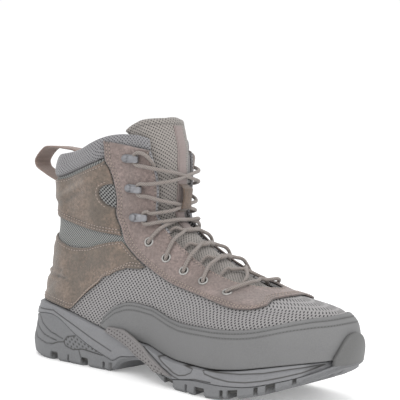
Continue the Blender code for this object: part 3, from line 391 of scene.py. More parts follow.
def meshPiece(name, points, faces, finish, lengths=None, paintedShading=None, kinds=None, extra=(), replaces=(),
              slot=None, sharp=42):
    # points (n,3) in the boot's frame, quads (m,4) and further faces as tuples; the piece rides on the body
    points = np.asarray(points, float).reshape(-1, 3) + origin
    p = points[faces]
    size = np.einsum("ij,ij->i", p[:, 0], np.cross(p[:, 1], p[:, 2]) + np.cross(p[:, 2], p[:, 3])).sum()
    for face in extra:
        q = points[list(face)]
        size += np.einsum("j,ij->i", q[0], np.cross(q[1:-1], q[2:])).sum()
    if size < 0:
        faces = faces[:, ::-1]
        extra = [tuple(reversed(face)) for face in extra]
        if lengths is not None and lengths.ndim == 3:
            lengths = lengths[:, ::-1]
    mesh = bpy.data.meshes.new(name)
    mesh.from_pydata(points.tolist(), [], faces.tolist() + [list(map(int, face)) for face in extra])
    finishNames = [finish] if isinstance(finish, str) else list(finish)
    for each in finishNames:
        mesh.materials.append(finishes[each])
    if kinds is not None:
        index = np.zeros(len(mesh.polygons), np.int32)
        index[:len(kinds)] = kinds
        mesh.polygons.foreach_set("material_index", index)
    if lengths is not None:
        loops = np.empty(len(mesh.loops), np.int32)
        mesh.loops.foreach_get("vertex_index", loops)
        if lengths.ndim == 3:
            values = np.zeros((len(loops), 2))
            values[:faces.size] = lengths.reshape(-1, 2)
        else:
            values = lengths[loops]
        mesh.uv_layers.new(name="lengths").data.foreach_set("uv", values.astype(np.float32).ravel())
    # store the painted shading per point: painted shade in troughs, seams, grooves and at edges, painted
    # highlight on ridges
    if paintedShading is not None:
        shade = mesh.attributes.new("paintedShading", "FLOAT", "POINT")
        shade.data.foreach_set("value", np.asarray(paintedShading, np.float32).ravel())
    mesh.shade_smooth()
    mesh.set_sharp_from_angle(angle=math.radians(sharp))
    made = bpy.data.objects.new(name, mesh)
    bpy.context.scene.collection.objects.link(made)
    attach(made, "root")
    if replaces:
        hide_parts(*replaces)
    return made


def shellPiece(name, outer, inner, finish, keep=None, lengths=None, paintedShading=None, kinds=None, **more):
    # a sheet with a wall: outer and inner are (rows, columns, 3); open edges are closed by a rim
    rows, columns = outer.shape[:2]
    count = rows * columns
    faces = gridFaces(rows, columns)
    if keep is not None:
        faces = faces[keep.ravel()]
        kinds = None if kinds is None else kinds.ravel()[keep.ravel()]
    elif kinds is not None:
        kinds = kinds.ravel()
    a = faces.ravel()
    b = np.roll(faces, -1, 1).ravel()
    single = ~np.isin(a * count + b, b * count + a)
    rim = np.stack([b[single], a[single], a[single] + count, b[single] + count], -1)
    allFaces = np.concatenate([faces, faces[:, ::-1] + count, rim])
    if kinds is not None:
        inside = more.pop("insideKind", 0)
        kinds = np.concatenate([kinds, np.full(len(faces), inside), np.zeros(len(rim), int)])
    points = np.concatenate([outer.reshape(-1, 3), inner.reshape(-1, 3)])
    if lengths is None:
        lengths = surfaceLengths(outer)
    lengths = np.concatenate([lengths.reshape(-1, 2)] * 2)
    # the inner sheet gets no painted shading
    paintedShading = np.zeros(count) if paintedShading is None else paintedShading.ravel()
    return meshPiece(name, points, allFaces, finish, lengths, np.concatenate([paintedShading, paintedShading * 0]), kinds, **more)


def runOf(path):
    # length along a path from its first point to each point
    return np.concatenate([[0], np.cumsum(np.linalg.norm(np.diff(path, axis=0), axis=1))])


def roundEdge(distance, width):
    # quarter circle: 0 at the edge, 1 from width on
    return np.sqrt(1 - (1 - np.clip(distance / width, 0, 1)) ** 2)


def surfaceLengths(grid):
    # lengths along the columns and up the rows of a grid, measured from its middle column
    along = np.linalg.norm(np.diff(grid, axis=1), axis=-1)
    u = np.concatenate([np.zeros((len(grid), 1)), np.cumsum(along, 1)], 1)
    u = u - u[:, [grid.shape[1] // 2]]
    up = np.linalg.norm(np.diff(grid, axis=0), axis=-1)
    v = np.concatenate([np.zeros((1, grid.shape[1])), np.cumsum(up, 0)])
    return np.stack([u, v], -1)


def carry(path):
    # two directions square to a path, carried along it without twist
    path = np.asarray(path, float)
    tangent = np.gradient(path, axis=0)
    tangent /= np.linalg.norm(tangent, axis=1)[:, None]
    side = np.cross(tangent[0], (0.0, 0.0, 1.0))
    sides = []
    for t in tangent:
        side = side - t * (side @ t)
        side = side / np.linalg.norm(side)
        sides.append(side)
    sides = np.array(sides)
    return sides, np.cross(tangent, sides)


def tubePiece(name, path, radius, finish, sides=12, **more):
    # a round cord along a path; radius is a number or one for each point
    path = np.asarray(path, float)
    side, over = carry(path)
    turn = np.linspace(0, 2 * np.pi, sides, endpoint=False)
    radius = np.broadcast_to(radius, len(path))[:, None, None]
    ring = np.cos(turn)[None, :, None] * side[:, None] + np.sin(turn)[None, :, None] * over[:, None]
    points = path[:, None] + radius * ring
    faces = gridFaces(len(path), sides, True)
    run = runOf(path)
    u = np.broadcast_to(run[:, None], (len(path), sides + 1))
    v = np.broadcast_to(turn[1] * np.arange(sides + 1) * float(np.mean(radius)), u.shape)
    lengths = np.stack([u, v], -1).reshape(-1, 2)[gridFaces(len(path), sides + 1)]
    last = (len(path) - 1) * sides
    caps = [tuple(range(sides))[::-1], tuple(last + k for k in range(sides))]
    return meshPiece(name, points, faces, finish, lengths, extra=caps, **more)


def smoothPath(points, count):
    # a curve through given points, evenly spaced (Catmull-Rom)
    points = np.asarray(points, float)
    padded = np.concatenate([[2 * points[0] - points[1]], points, [2 * points[-1] - points[-2]]])
    dense = []
    t = np.linspace(0, 1, 24, endpoint=False)[:, None]
    for a, b, c, d in zip(padded[:-3], padded[1:-2], padded[2:-1], padded[3:]):
        dense.append(0.5 * (2 * b + (c - a) * t + (2 * a - 5 * b + 4 * c - d) * t ** 2
                            + (3 * b - a - 3 * c + d) * t ** 3))
    dense = np.concatenate(dense + [points[-1:]])
    run = runOf(dense)
    at = np.linspace(0, run[-1], count)
    return np.stack([np.interp(at, run, dense[:, k]) for k in range(points.shape[1])], -1)


def curve(xs, ys):
    # reads a table between its rows: a cubic that never overshoots them
    xs, ys = np.asarray(xs, float), np.asarray(ys, float)
    span = np.diff(xs)
    rate = np.diff(ys) / span
    slope = np.concatenate([rate[:1], np.zeros(len(rate) - 1), rate[-1:]])
    same = rate[:-1] * rate[1:] > 0
    before = 2 * span[1:] + span[:-1]
    after = span[1:] + 2 * span[:-1]
    with np.errstate(divide="ignore", invalid="ignore"):
        inner = (before + after) / (before / rate[:-1] + after / rate[1:])
    slope[1:-1] = np.where(same, inner, 0.0)

    def read(at):
        # cubic Hermite between two rows
        at = np.asarray(at, float)
        i = np.clip(np.searchsorted(xs, at) - 1, 0, len(xs) - 2)
        t = np.clip((at - xs[i]) / span[i], 0, 1)
        start = (2 * t ** 3 - 3 * t ** 2 + 1) * ys[i] + (t ** 3 - 2 * t ** 2 + t) * span[i] * slope[i]
        return start + (3 * t ** 2 - 2 * t ** 3) * ys[i + 1] + (t ** 3 - t ** 2) * span[i] * slope[i + 1]
    return read


def spread(table, column, at):
    # a column of a table read evenly over its rows
    return curve(np.linspace(0, 1, len(table)), [row[column] for row in table])(at)


def soft(low, high, at):
    # 3t^2 - 2t^3 with t from 0 at low to 1 at high
    t = np.clip((np.asarray(at, float) - low) / (high - low), 0, 1)
    return t * t * (3 - 2 * t)


def hump(distance, width):
    # bell: exp(-(distance / width)^2)
    return np.exp(-(distance / width) ** 2)


def lineDistance(x, z, points):
    # distance in a plane from a broken line
    best = np.full(np.shape(x), 1e3)
    for (ax, az), (bx, bz) in zip(points[:-1], points[1:]):
        dx, dz = bx - ax, bz - az
        t = np.clip(((x - ax) * dx + (z - az) * dz) / (dx * dx + dz * dz), 0, 1)
        best = np.minimum(best, np.hypot(x - ax - t * dx, z - az - t * dz))
    return best


def insideOf(x, z, corners):
    # even-odd rule: count the corners' edges to the right of each point
    inside = np.zeros(np.shape(x), bool)
    for (ax, az), (bx, bz) in zip(corners, corners[1:] + corners[:1]):
        if az != bz:
            inside ^= ((az > z) != (bz > z)) & (x < (bx - ax) * (z - az) / (bz - az) + ax)
    return inside


def unevenness(point, scale):
    # slow waves in three directions, about -1 to 1
    x, y, z = (point[..., k] / scale for k in range(3))
    waves = np.sin(2.1 * x + 1.3 * z + 0.6) + np.sin(1.7 * z - 1.9 * y + 2.0)
    return (waves + np.sin(2.9 * x - 2.3 * z + 4.1) + np.sin(3.7 * z + 2.6 * y + 1.1)) / 3.2


# the last, as horizontal slices: level, back, front, heel, waist, lateral, medial, fore, nose, skew
last = {"length": 0.305, "ball": 0.112, "stack": 0.047, "height": 0.146}
slices = np.array([
    (-0.158, 0.015, 0.980, 0.312, 0.321, 0.464, 0.464, 0.72, 2.30, 0.027),
    (-0.075, 0.020, 0.982, 0.321, 0.326, 0.464, 0.464, 0.72, 2.30, 0.027),
    (0.007, 0.025, 0.985, 0.321, 0.326, 0.455, 0.455, 0.72, 2.30, 0.027),
    (0.089, 0.031, 0.980, 0.312, 0.326, 0.420, 0.440, 0.72, 2.20, 0.027),
    (0.158, 0.039, 0.951, 0.304, 0.321, 0.357, 0.384, 0.72, 2.00, 0.027),
    (0.212, 0.051, 0.813, 0.304, 0.321, 0.312, 0.330, 0.70, 1.75, 0.027),
    (0.281, 0.056, 0.705, 0.295, 0.312, 0.286, 0.304, 0.68, 1.65, 0.027),
    (0.363, 0.064, 0.613, 0.286, 0.304, 0.259, 0.277, 0.68, 1.65, 0.027),
    (0.459, 0.072, 0.521, 0.277, 0.295, 0.241, 0.259, 0.68, 1.75, 0.027),
    (0.582, 0.066, 0.457, 0.268, 0.295, 0.241, 0.250, 0.70, 1.90, 0.018),
    (0.740, 0.053, 0.461, 0.268, 0.312, 0.250, 0.259, 0.72, 2.00, 0.009),
    (0.911, 0.069, 0.459, 0.277, 0.339, 0.259, 0.268, 0.75, 2.00, 0.000),
    (1.120, 0.072, 0.432, 0.277, 0.348, 0.268, 0.268, 0.75, 2.00, 0.000),
])
sliceNames = ("back", "front", "heel", "waist", "lateral", "medial", "fore", "nose", "skew")
sliceCurves = {name: curve(slices[:, 0], slices[:, k + 1]) for k, name in enumerate(sliceNames)}
heelStation, waistStation, tailPower = 0.16, 0.42, 2.2


def heightOf(level):
    # level 0 is the sole's stack, 1 the upper's height above it
    return last["stack"] + np.asarray(level, float) * last["height"]


def levelOf(height):
    # the way back from a height to its level
    return (np.asarray(height, float) - last["stack"]) / last["height"]


def angleAt(reach):
    # reach 0 at the back and 1 at the front: (1 - cos angle) / 2
    return np.arccos(1 - 2 * np.clip(reach, 0, 1))


def reachAt(angle):
    # the way back from an angle to its reach
    return (1 - np.cos(angle)) / 2


def sliceAt(height, angle):
    # point of the upper's face: angle 0 at the back of the heel, pi at the front, lateral side between
    turn = np.mod(angle, 2 * np.pi)
    medial = turn > np.pi
    phi = np.where(medial, 2 * np.pi - turn, turn)
    reach = reachAt(phi)
    level = levelOf(height)
    s = {name: read(level) for name, read in sliceCurves.items()}
    half = s["heel"] + (s["waist"] - s["heel"]) * soft(heelStation, waistStation, reach)
    fore = np.where(medial, s["medial"], s["lateral"])
    half = half + (fore - s["waist"]) * soft(0, 1, (reach - waistStation) / (s["fore"] - waistStation))
    nose = np.clip((reach - s["fore"]) / (1 - s["fore"]), 0, 1)
    tail = (1 - np.clip((heelStation - reach) / heelStation, 0, 1) ** tailPower) ** (1 / tailPower)
    half = half * (1 - nose ** s["nose"]) ** (1 / s["nose"]) * tail
    y = last["ball"] * (s["skew"] * reach + np.where(medial, 1.0, -1.0) * half)
    x = (s["back"] + (s["front"] - s["back"]) * reach) * last["length"]
    return np.stack([x, y, np.asarray(height) + 0 * y], -1)


def skin(height, angle, out=0.0):
    # the upper's face moved out along its normal
    height, angle, out = np.broadcast_arrays(np.asarray(height, float), angle, out)
    along = sliceAt(height, angle + 0.01) - sliceAt(height, angle - 0.01)
    up = sliceAt(height + 0.0004, angle) - sliceAt(height - 0.0004, angle)
    normal = np.cross(along, up)
    normal /= np.linalg.norm(normal, axis=-1)[..., None]
    return sliceAt(height, angle) + normal * out[..., None]


def angleAtHalf(height, half):
    # lateral angle where the front part of a slice is half wide
    low = np.full(np.shape(height), 0.5 * np.pi)
    high = np.full(np.shape(height), np.pi)
    middle = sliceAt(height, high)[..., 1]
    for _ in range(26):
        angle = (low + high) / 2
        wide = middle - sliceAt(height, angle)[..., 1] > half
        low = np.where(wide, angle, low)
        high = np.where(wide, high, angle)
    return high


throat = {"half": 0.0215, "rows": (
    (0.233, 0.00), (0.236, 0.50), (0.242, 0.80), (0.255, 0.98), (0.300, 1.03), (0.420, 0.95), (0.500, 0.92),
    (0.640, 0.95), (0.760, 1.02), (0.920, 1.22), (1.050, 1.30))}
throatCurve = curve(*zip(*throat["rows"]))


def throatAngle(height):
    # angle of the throat's edge: half width read from the rows, pi where closed
    half = throat["half"] * throatCurve(levelOf(height))
    return np.where(half > 0, angleAtHalf(height, np.maximum(half, 1e-6)), np.pi)


# the sole's own curves
sole = {
    "arch": 0.015, "spring": 0.034, "springStart": 0.672, "bevel": 0.005, "edge": 0.003,
    "plan": ((0.0, 0.355, 0.355), (0.135, 0.357, 0.357), (0.36, 0.343, 0.368), (0.54, 0.44, 0.425),
             (0.70, 0.50, 0.50), (1.0, 0.50, 0.50)),
    "side": ((0.000, 0.00, 0.61, 0.89), (0.049, 0.00, 0.76, 1.00), (0.121, 0.00, 0.82, 0.98),
             (0.144, 0.00, 0.79, 0.96), (0.216, 0.00, 0.53, 0.85), (0.272, 0.00, 0.36, 0.755),
             (0.315, 0.00, 0.26, 0.70), (0.342, 0.02, 0.20, 0.655), (0.374, 0.60, 0.10, 0.45),
             (0.413, 0.87, 0.06, 0.34), (0.452, 1.00, 0.06, 0.27), (0.492, 0.77, 0.065, 0.29),
             (0.534, 0.30, 0.11, 0.38), (0.584, 0.00, 0.17, 0.447), (0.672, 0.00, 0.245, 0.447),
             (0.754, 0.00, 0.21, 0.447), (0.816, 0.00, 0.165, 0.436), (0.862, 0.00, 0.15, 0.404),
             (0.925, 0.00, 0.11, 0.309), (0.977, 0.00, 0.085, 0.181), (1.000, 0.00, 0.085, 0.130)),
}
planRows, sideRows = np.array(sole["plan"]), np.array(sole["side"])
planCurves = {-1: curve(planRows[:, 0], planRows[:, 1]), 1: curve(planRows[:, 0], planRows[:, 2])}
archCurve, rubberCurve, wholeCurve = (curve(sideRows[:, 0], sideRows[:, k]) for k in (1, 2, 3))


def soleHalf(x, side):
    # half width of the plan table, rounded by a power curve at toe and heel
    along = np.clip(np.asarray(x, float) / last["length"], 0, 1)
    power = np.where(np.asarray(side) < 0, 2.0, 2.6)
    toe = (1 - np.clip((along - 0.7) / 0.3, 0, 1) ** power) ** (1 / power)
    heel = (1 - np.clip((0.135 - along) / 0.135, 0, 1) ** 2.3) ** (1 / 2.3)
    half = np.where(np.asarray(side) < 0, planCurves[-1](along), planCurves[1](along))
    return half * last["ball"] * toe * heel


def tread(x):
    # lowest surface: toe spring t^2, arch curve and heel bevel
    along = np.clip(np.asarray(x, float) / last["length"], 0, 1)
    spring = np.clip((along - sole["springStart"]) / (1 - sole["springStart"]), 0, 1) ** 2
    bevel = np.clip(1 - along / 0.05, 0, 1) ** 2
    return sole["spring"] * spring + sole["arch"] * archCurve(along) + sole["bevel"] * bevel


def seam(x):
    # border of rubber and foam over the tread
    return tread(x) + last["stack"] * rubberCurve(np.asarray(x) / last["length"])


def feather(x):
    # line where the upper stands on the sole
    return tread(x) + last["stack"] * wholeCurve(np.asarray(x) / last["length"])


def upperFoot(angle):
    # four rounds settle the height where the upper meets the feather line
    height = np.full(np.shape(angle), last["stack"] * 0.8)
    for _ in range(4):
        height = feather(sliceAt(height, angle)[..., 0]) + 0.8 * mm
    return height


print("forms")


# upper wall

wall = {"thick": 2.2 * mm, "columns": 300, "rows": 120, "throatEnd": 0.233}
collar = {
    "rows": ((0.00, 0.720, 0.862), (0.10, 0.728, 0.868), (0.30, 0.783, 0.905), (0.41, 0.819, 0.943),
             (0.53, 0.863, 0.985), (0.60, 0.900, 0.998), (0.68, 0.925, 1.004), (0.77, 0.930, 1.003),
             (0.86, 0.920, 0.990), (1.00, 0.910, 0.980)),
    "pad": 5 * mm, "frontPad": 1.2 * mm, "bulge": 3.0 * mm, "columns": 260, "sides": 28,
}
collarRows = np.array(collar["rows"])
collarLow = curve(collarRows[:, 0], collarRows[:, 1])
collarHigh = curve(collarRows[:, 0], collarRows[:, 2])
eyelets = ((0.201, 0.806), (0.243, 0.785), (0.283, 0.755), (0.340, 0.732), (0.415, 0.715))
hooks = ((0.544, 0.765), (0.708, 0.750), (0.872, 0.718))
seat, facingSeat, overlay = 0.8 * mm, 1.1 * mm, 1.4 * mm


def holeMask(grid, radius):
    # faces of a grid that lie clear of every eyelet hole
    middle = (grid[:-1, :-1] + grid[1:, 1:]) / 2
    keep = np.ones(middle.shape[:2], bool)
    for side in (-1, 1):
        for level, reach in eyelets:
            angle = angleAt(reach) if side < 0 else 2 * np.pi - angleAt(reach)
            centre = skin(heightOf(level), angle, 0.0)
            keep &= np.linalg.norm(middle - centre, axis=-1) > radius
    return keep


def makeUpper():
    # angle runs from one throat edge round the heel to the other, rows from the sole to the collar
    rows, columns = wall["rows"], wall["columns"]
    end = float(heightOf(wall["throatEnd"]))
    foot = float(upperFoot(np.array(np.pi)))
    top = float(heightOf(collarLow(1.0)))
    fine = np.linspace(foot, top, 800)
    ridge = sliceAt(fine, np.full(800, np.pi))
    run = runOf(ridge)
    split = np.interp(end, fine, run)
    closedRows = int(rows * split / run[-1]) + 1
    openPart = np.linspace(split, run[-1], rows - closedRows + 1)[1:]
    at = np.concatenate([np.linspace(0, split, closedRows), openPart])
    frontShare = (np.interp(at, run, fine) - foot) / (top - foot)
    heelShare = np.linspace(0, 1, rows)

    def rowHeight(angle):
        # rows run from the foot to the collar, shared out differently at heel and front
        share = heelShare[:, None] + (frontShare - heelShare)[:, None] * soft(0, 1, reachAt(angle))
        low = upperFoot(angle)
        return low + (heightOf(collarLow(reachAt(angle))) - 0.3 * mm - low) * share

    edge = np.full((rows, 1), np.pi)
    for _ in range(14):
        edge = (edge + throatAngle(rowHeight(edge))) / 2
    edge[:closedRows] = np.pi
    angle = np.linspace(-1, 1, columns)[None] * edge
    height = rowHeight(angle)
    face = skin(height, angle, 0.0)
    level, reach = levelOf(height), reachAt(angle)
    gapZone = soft(0.335, 0.345, level) * (1 - soft(0.54, 0.60, reach))
    out = 0.35 * mm * gapZone
    outer = skin(height, angle, out)
    inner = skin(height, angle, -wall["thick"])
    kinds = np.where(gapZone > 0.5, 1, 0)[:-1, :-1]
    lengths = surfaceLengths(outer)
    lengths[..., 1] = outer[..., 2]
    made = shellPiece("upperWall", outer, inner, ("vamp", "gap", "lining"), holeMask(face, 3.3 * mm),
                      kinds=kinds, lengths=lengths, insideKind=2, replaces=("upper",), slot="upper")
    weldFront(made)


def weldFront(made):
    # the two front edges below the throat are one edge
    work = bmesh.new()
    work.from_mesh(made.data)
    bmesh.ops.remove_doubles(work, verts=work.verts, dist=1e-6)
    loose = [f for f in work.faces if f.calc_area() < 1e-14]
    bmesh.ops.delete(work, geom=loose, context="FACES")
    seen = {}
    for face in work.faces:
        seen.setdefault(frozenset(v.index for v in face.verts), []).append(face)
    pairs = [f for group in seen.values() if len(group) > 1 for f in group]
    bmesh.ops.delete(work, geom=pairs, context="FACES")
    work.to_mesh(made.data)
    work.free()


makeUpper()
print("upper wall")


# suede and smooth panels

edgeRows = np.array([0, 0.25, 0.6, 1.2, 2.0])


def panelGrid(low, high, rows, share=None):
    # rows crowd at both borders so that the edges can be rounded; share ties the columns to the facing
    width = np.linalg.norm(skin(high[1], high[0]) - skin(low[1], low[0]), axis=-1)
    near = edgeRows[None] * mm / np.maximum(width, 1 * mm)[:, None]
    near = np.minimum(near, 0.3)
    middle = near[:, -1:] + (1 - 2 * near[:, -1:]) * np.linspace(0, 1, rows)[None, 1:-1]
    t = np.concatenate([near, middle, 1 - near[:, ::-1]], 1).T
    angle = low[0] + (high[0] - low[0]) * t
    height = low[1] + (high[1] - low[1]) * t
    if share is not None:
        angle = share * behindFacing(levelOf(height))
    return height, angle, t, width


def foldRelief(point, folds):
    # soft ridges and troughs along given lines seen from the side, in mm
    x, z = point[..., 0] / mm, point[..., 2] / mm
    out = np.zeros(x.shape)
    for line, width, rise in folds:
        out = out + rise * hump(lineDistance(x, z, line), width)
    return out


def panelPiece(name, low, high, rows, wish):
    # skin plus wall, rounded at the edge, with folds, waves and sunk seams; gives the seams' paths
    height, angle, t, width = panelGrid(low, high, rows, wish.get("share"))
    base = skin(height, angle, 0.0)
    toLow, toHigh = t * width, (1 - t) * width
    edge = np.minimum(toLow, toHigh)
    along = np.linalg.norm(np.diff(base, axis=1), axis=-1)
    run = np.concatenate([np.zeros((len(base), 1)), np.cumsum(along, 1)], 1)
    edge = np.minimum(edge, np.minimum(run, run[:, -1:] - run))
    rounding = roundEdge(edge, 1.0 * mm)
    away = soft(1.5 * mm, 8 * mm, edge)
    folds = foldRelief(base, wish.get("folds", ()))
    waves = unevenness(base, wish.get("waveScale", 9 * mm)) * wish.get("wave", 0.25)
    relief = (folds + waves) * away * mm
    # painted highlight on fold ridges, painted shade in fold troughs and a painted shadow line along the
    # panel's edge
    paintedShading = np.clip(folds * 0.55, -0.7, 0.7) * away - 0.55 * hump(edge, 0.5 * mm)
    lowSeams, highSeams = wish.get("lowSeams", ()), wish.get("highSeams", ())
    for across, distance in [(toLow, d) for d in lowSeams] + [(toHigh, d) for d in highSeams]:
        # painted shade along each sunk seam
        paintedShading -= 0.75 * hump(across - distance, 0.55 * mm)
        relief -= 0.25 * mm * hump(across - distance, 0.7 * mm)
    start = wish.get("seat", seat)
    out = start + overlay * (0.3 + 0.7 * rounding) + relief
    keep, kinds = None, None
    finish = wish["finish"]
    if "window" in wish:
        shape = wish["window"](height, angle)
        out = np.where(shape < 0, start + 0.15 * mm, out)
        # painted shade inside the sunk window and a painted shadow along its rim
        paintedShading = np.where(shape < 0, -0.2, paintedShading - 0.5 * hump(shape, 0.9 * mm))
        kinds = (shape < 0)[:-1, :-1].astype(int)
        finish = (finish, "window")
    if wish.get("holes"):
        keep = holeMask(base, 3.0 * mm)
    outer = skin(height, angle, out)
    inner = skin(height, angle, start)
    shellPiece(name, outer, inner, finish, keep, kinds=kinds, paintedShading=paintedShading, replaces=wish.get("replaces", ()),
               slot=wish.get("slot"))

    def seamPath(distance, fromHigh):
        # a line at one distance inside a border
        share = np.minimum(distance / width, 0.5)
        share = 1 - share if fromHigh else share
        a = low[0] + (high[0] - low[0]) * share
        h = low[1] + (high[1] - low[1]) * share
        if wish.get("share") is not None:
            a = wish["share"] * behindFacing(levelOf(h))
        return skin(h, a, start + overlay - 0.05 * mm)
    return [seamPath(d, False) for d in lowSeams] + [seamPath(d, True) for d in highSeams]


def stitchPiece(name, paths, finish, slot, pitch=3.0 * mm, thick=0.42 * mm, share=0.66):
    # every stitch is a small spindle of three rings laid along its path
    spots, runs = [], []
    for path in paths:
        run = runOf(path)
        at = np.arange(pitch, run[-1] - pitch / 2, pitch)
        spots.append(np.stack([np.interp(at, run, path[:, k]) for k in range(3)], -1))
        ahead = np.stack([np.interp(at + 0.3 * mm, run, path[:, k]) for k in range(3)], -1)
        runs.append(ahead - spots[-1])
    spots, runs = np.concatenate(spots), np.concatenate(runs)
    runs = runs / np.linalg.norm(runs, axis=1)[:, None]
    side = np.cross(runs, (0, 0, 1.0))
    side /= np.linalg.norm(side, axis=1)[:, None]
    over = np.cross(side, runs)
    sides = 5
    turn = np.linspace(0, 2 * np.pi, sides, endpoint=False)
    rings = np.array([-0.5, -0.38, 0.0, 0.38, 0.5]) * pitch * share
    radii = np.array([0.25, 0.85, 1.0, 0.85, 0.25]) * thick
    ring = np.cos(turn)[:, None] * side[:, None, None] + np.sin(turn)[:, None] * over[:, None, None]
    points = spots[:, None, None] + rings[None, :, None, None] * runs[:, None, None]
    points = points + radii[None, :, None, None] * ring
    each = len(rings) * sides
    faces = gridFaces(len(rings), sides, True)
    allFaces = (faces[None] + each * np.arange(len(spots))[:, None, None]).reshape(-1, 4)
    caps = []
    for k in range(len(spots)):
        caps.append(tuple(each * k + i for i in range(sides))[::-1])
        caps.append(tuple(each * k + each - sides + i for i in range(sides)))
    return meshPiece(name, points, allFaces, finish, extra=caps, slot=slot, paintedShading=np.zeros(points.size // 3))


def bothSides(angle, height):
    # a border from the heel to one side, mirrored to the other
    return np.concatenate([-angle[::-1], angle[1:]]), np.concatenate([height[::-1], height[1:]])


def throughFront(angle, height):
    # a border from one side to the front, mirrored on
    return np.concatenate([angle, 2 * np.pi - angle[-2::-1]]), np.concatenate([height, height[-2::-1]])


# facing: level and reach of its outer border, level of the matching throat point
facing = (
    (0.960, 0.520, 0.925), (0.863, 0.533, 0.850), (0.800, 0.575, 0.800), (0.740, 0.600, 0.745),
    (0.632, 0.618, 0.660), (0.500, 0.590, 0.560), (0.392, 0.550, 0.490), (0.330, 0.561, 0.440),
    (0.277, 0.588, 0.390), (0.215, 0.619, 0.345), (0.188, 0.645, 0.320), (0.165, 0.675, 0.300),
    (0.148, 0.712, 0.283), (0.140, 0.750, 0.268), (0.145, 0.790, 0.255), (0.166, 0.845, 0.245),
    (0.195, 0.930, 0.238), (0.209, 1.000, 0.233))
facingBack = curve([row[0] for row in facing[:9]][::-1], [row[1] for row in facing[:9]][::-1])


def behindFacing(level):
    # angle 2 mm behind the facing's back border
    height = heightOf(level)
    length = sliceAt(height, np.pi)[..., 0] - sliceAt(height, 0.0)[..., 0]
    return angleAt(facingBack(level)) - 2 * mm / length


# folds: side-view line in mm, width, rise
heelFolds = (
    (((16, 72), (24, 73.5), (46, 73.5)), 1.5, 0.8),
    (((16, 69), (26, 70), (48, 70)), 1.5, -0.75),
    (((18, 76), (42, 77)), 2.0, -0.5),
    (((8, 60), (20, 66), (34, 68)), 3.2, 0.5),
    (((10, 52), (26, 60), (40, 72)), 3.0, -0.45),
    (((20, 96), (38, 90), (60, 88)), 4.0, 0.4),
    (((50, 78), (70, 84), (92, 86)), 4.0, -0.4),
)
ankleFolds = (
    (((20, 134), (34, 139), (52, 147), (62, 152)), 3.4, 0.85),
    (((22, 129), (38, 134), (58, 143)), 3.0, -0.6),
    (((18, 118), (34, 117), (52, 114), (70, 113)), 2.6, 0.6),
    (((20, 122.5), (40, 121.5), (64, 117)), 2.2, -0.5),
    (((30, 156), (46, 160)), 4.5, 0.35),
    (((64, 125), (78, 128)), 5.0, -0.35),
)
facingFolds = (
    (((100, 128), (112, 122), (122, 116)), 3.0, -0.35),
    (((96, 150), (104, 146)), 4.0, 0.3),
    (((120, 100), (140, 92), (160, 84)), 5.0, 0.3),
)


def ankleWindow(height, angle):
    # half oval that opens in front of the facing's back border; negative inside
    p = skin(height, angle)
    front = skin(heightOf(0.652), angleAt(0.606))
    dx = (p[..., 0] - front[0]) / (14.5 * mm)
    dz = (p[..., 2] - front[2] + 0.10 * (p[..., 0] - front[0])) / (9.5 * mm)
    return (np.sqrt(dx ** 2 + dz ** 2) - 1) * 9.5 * mm


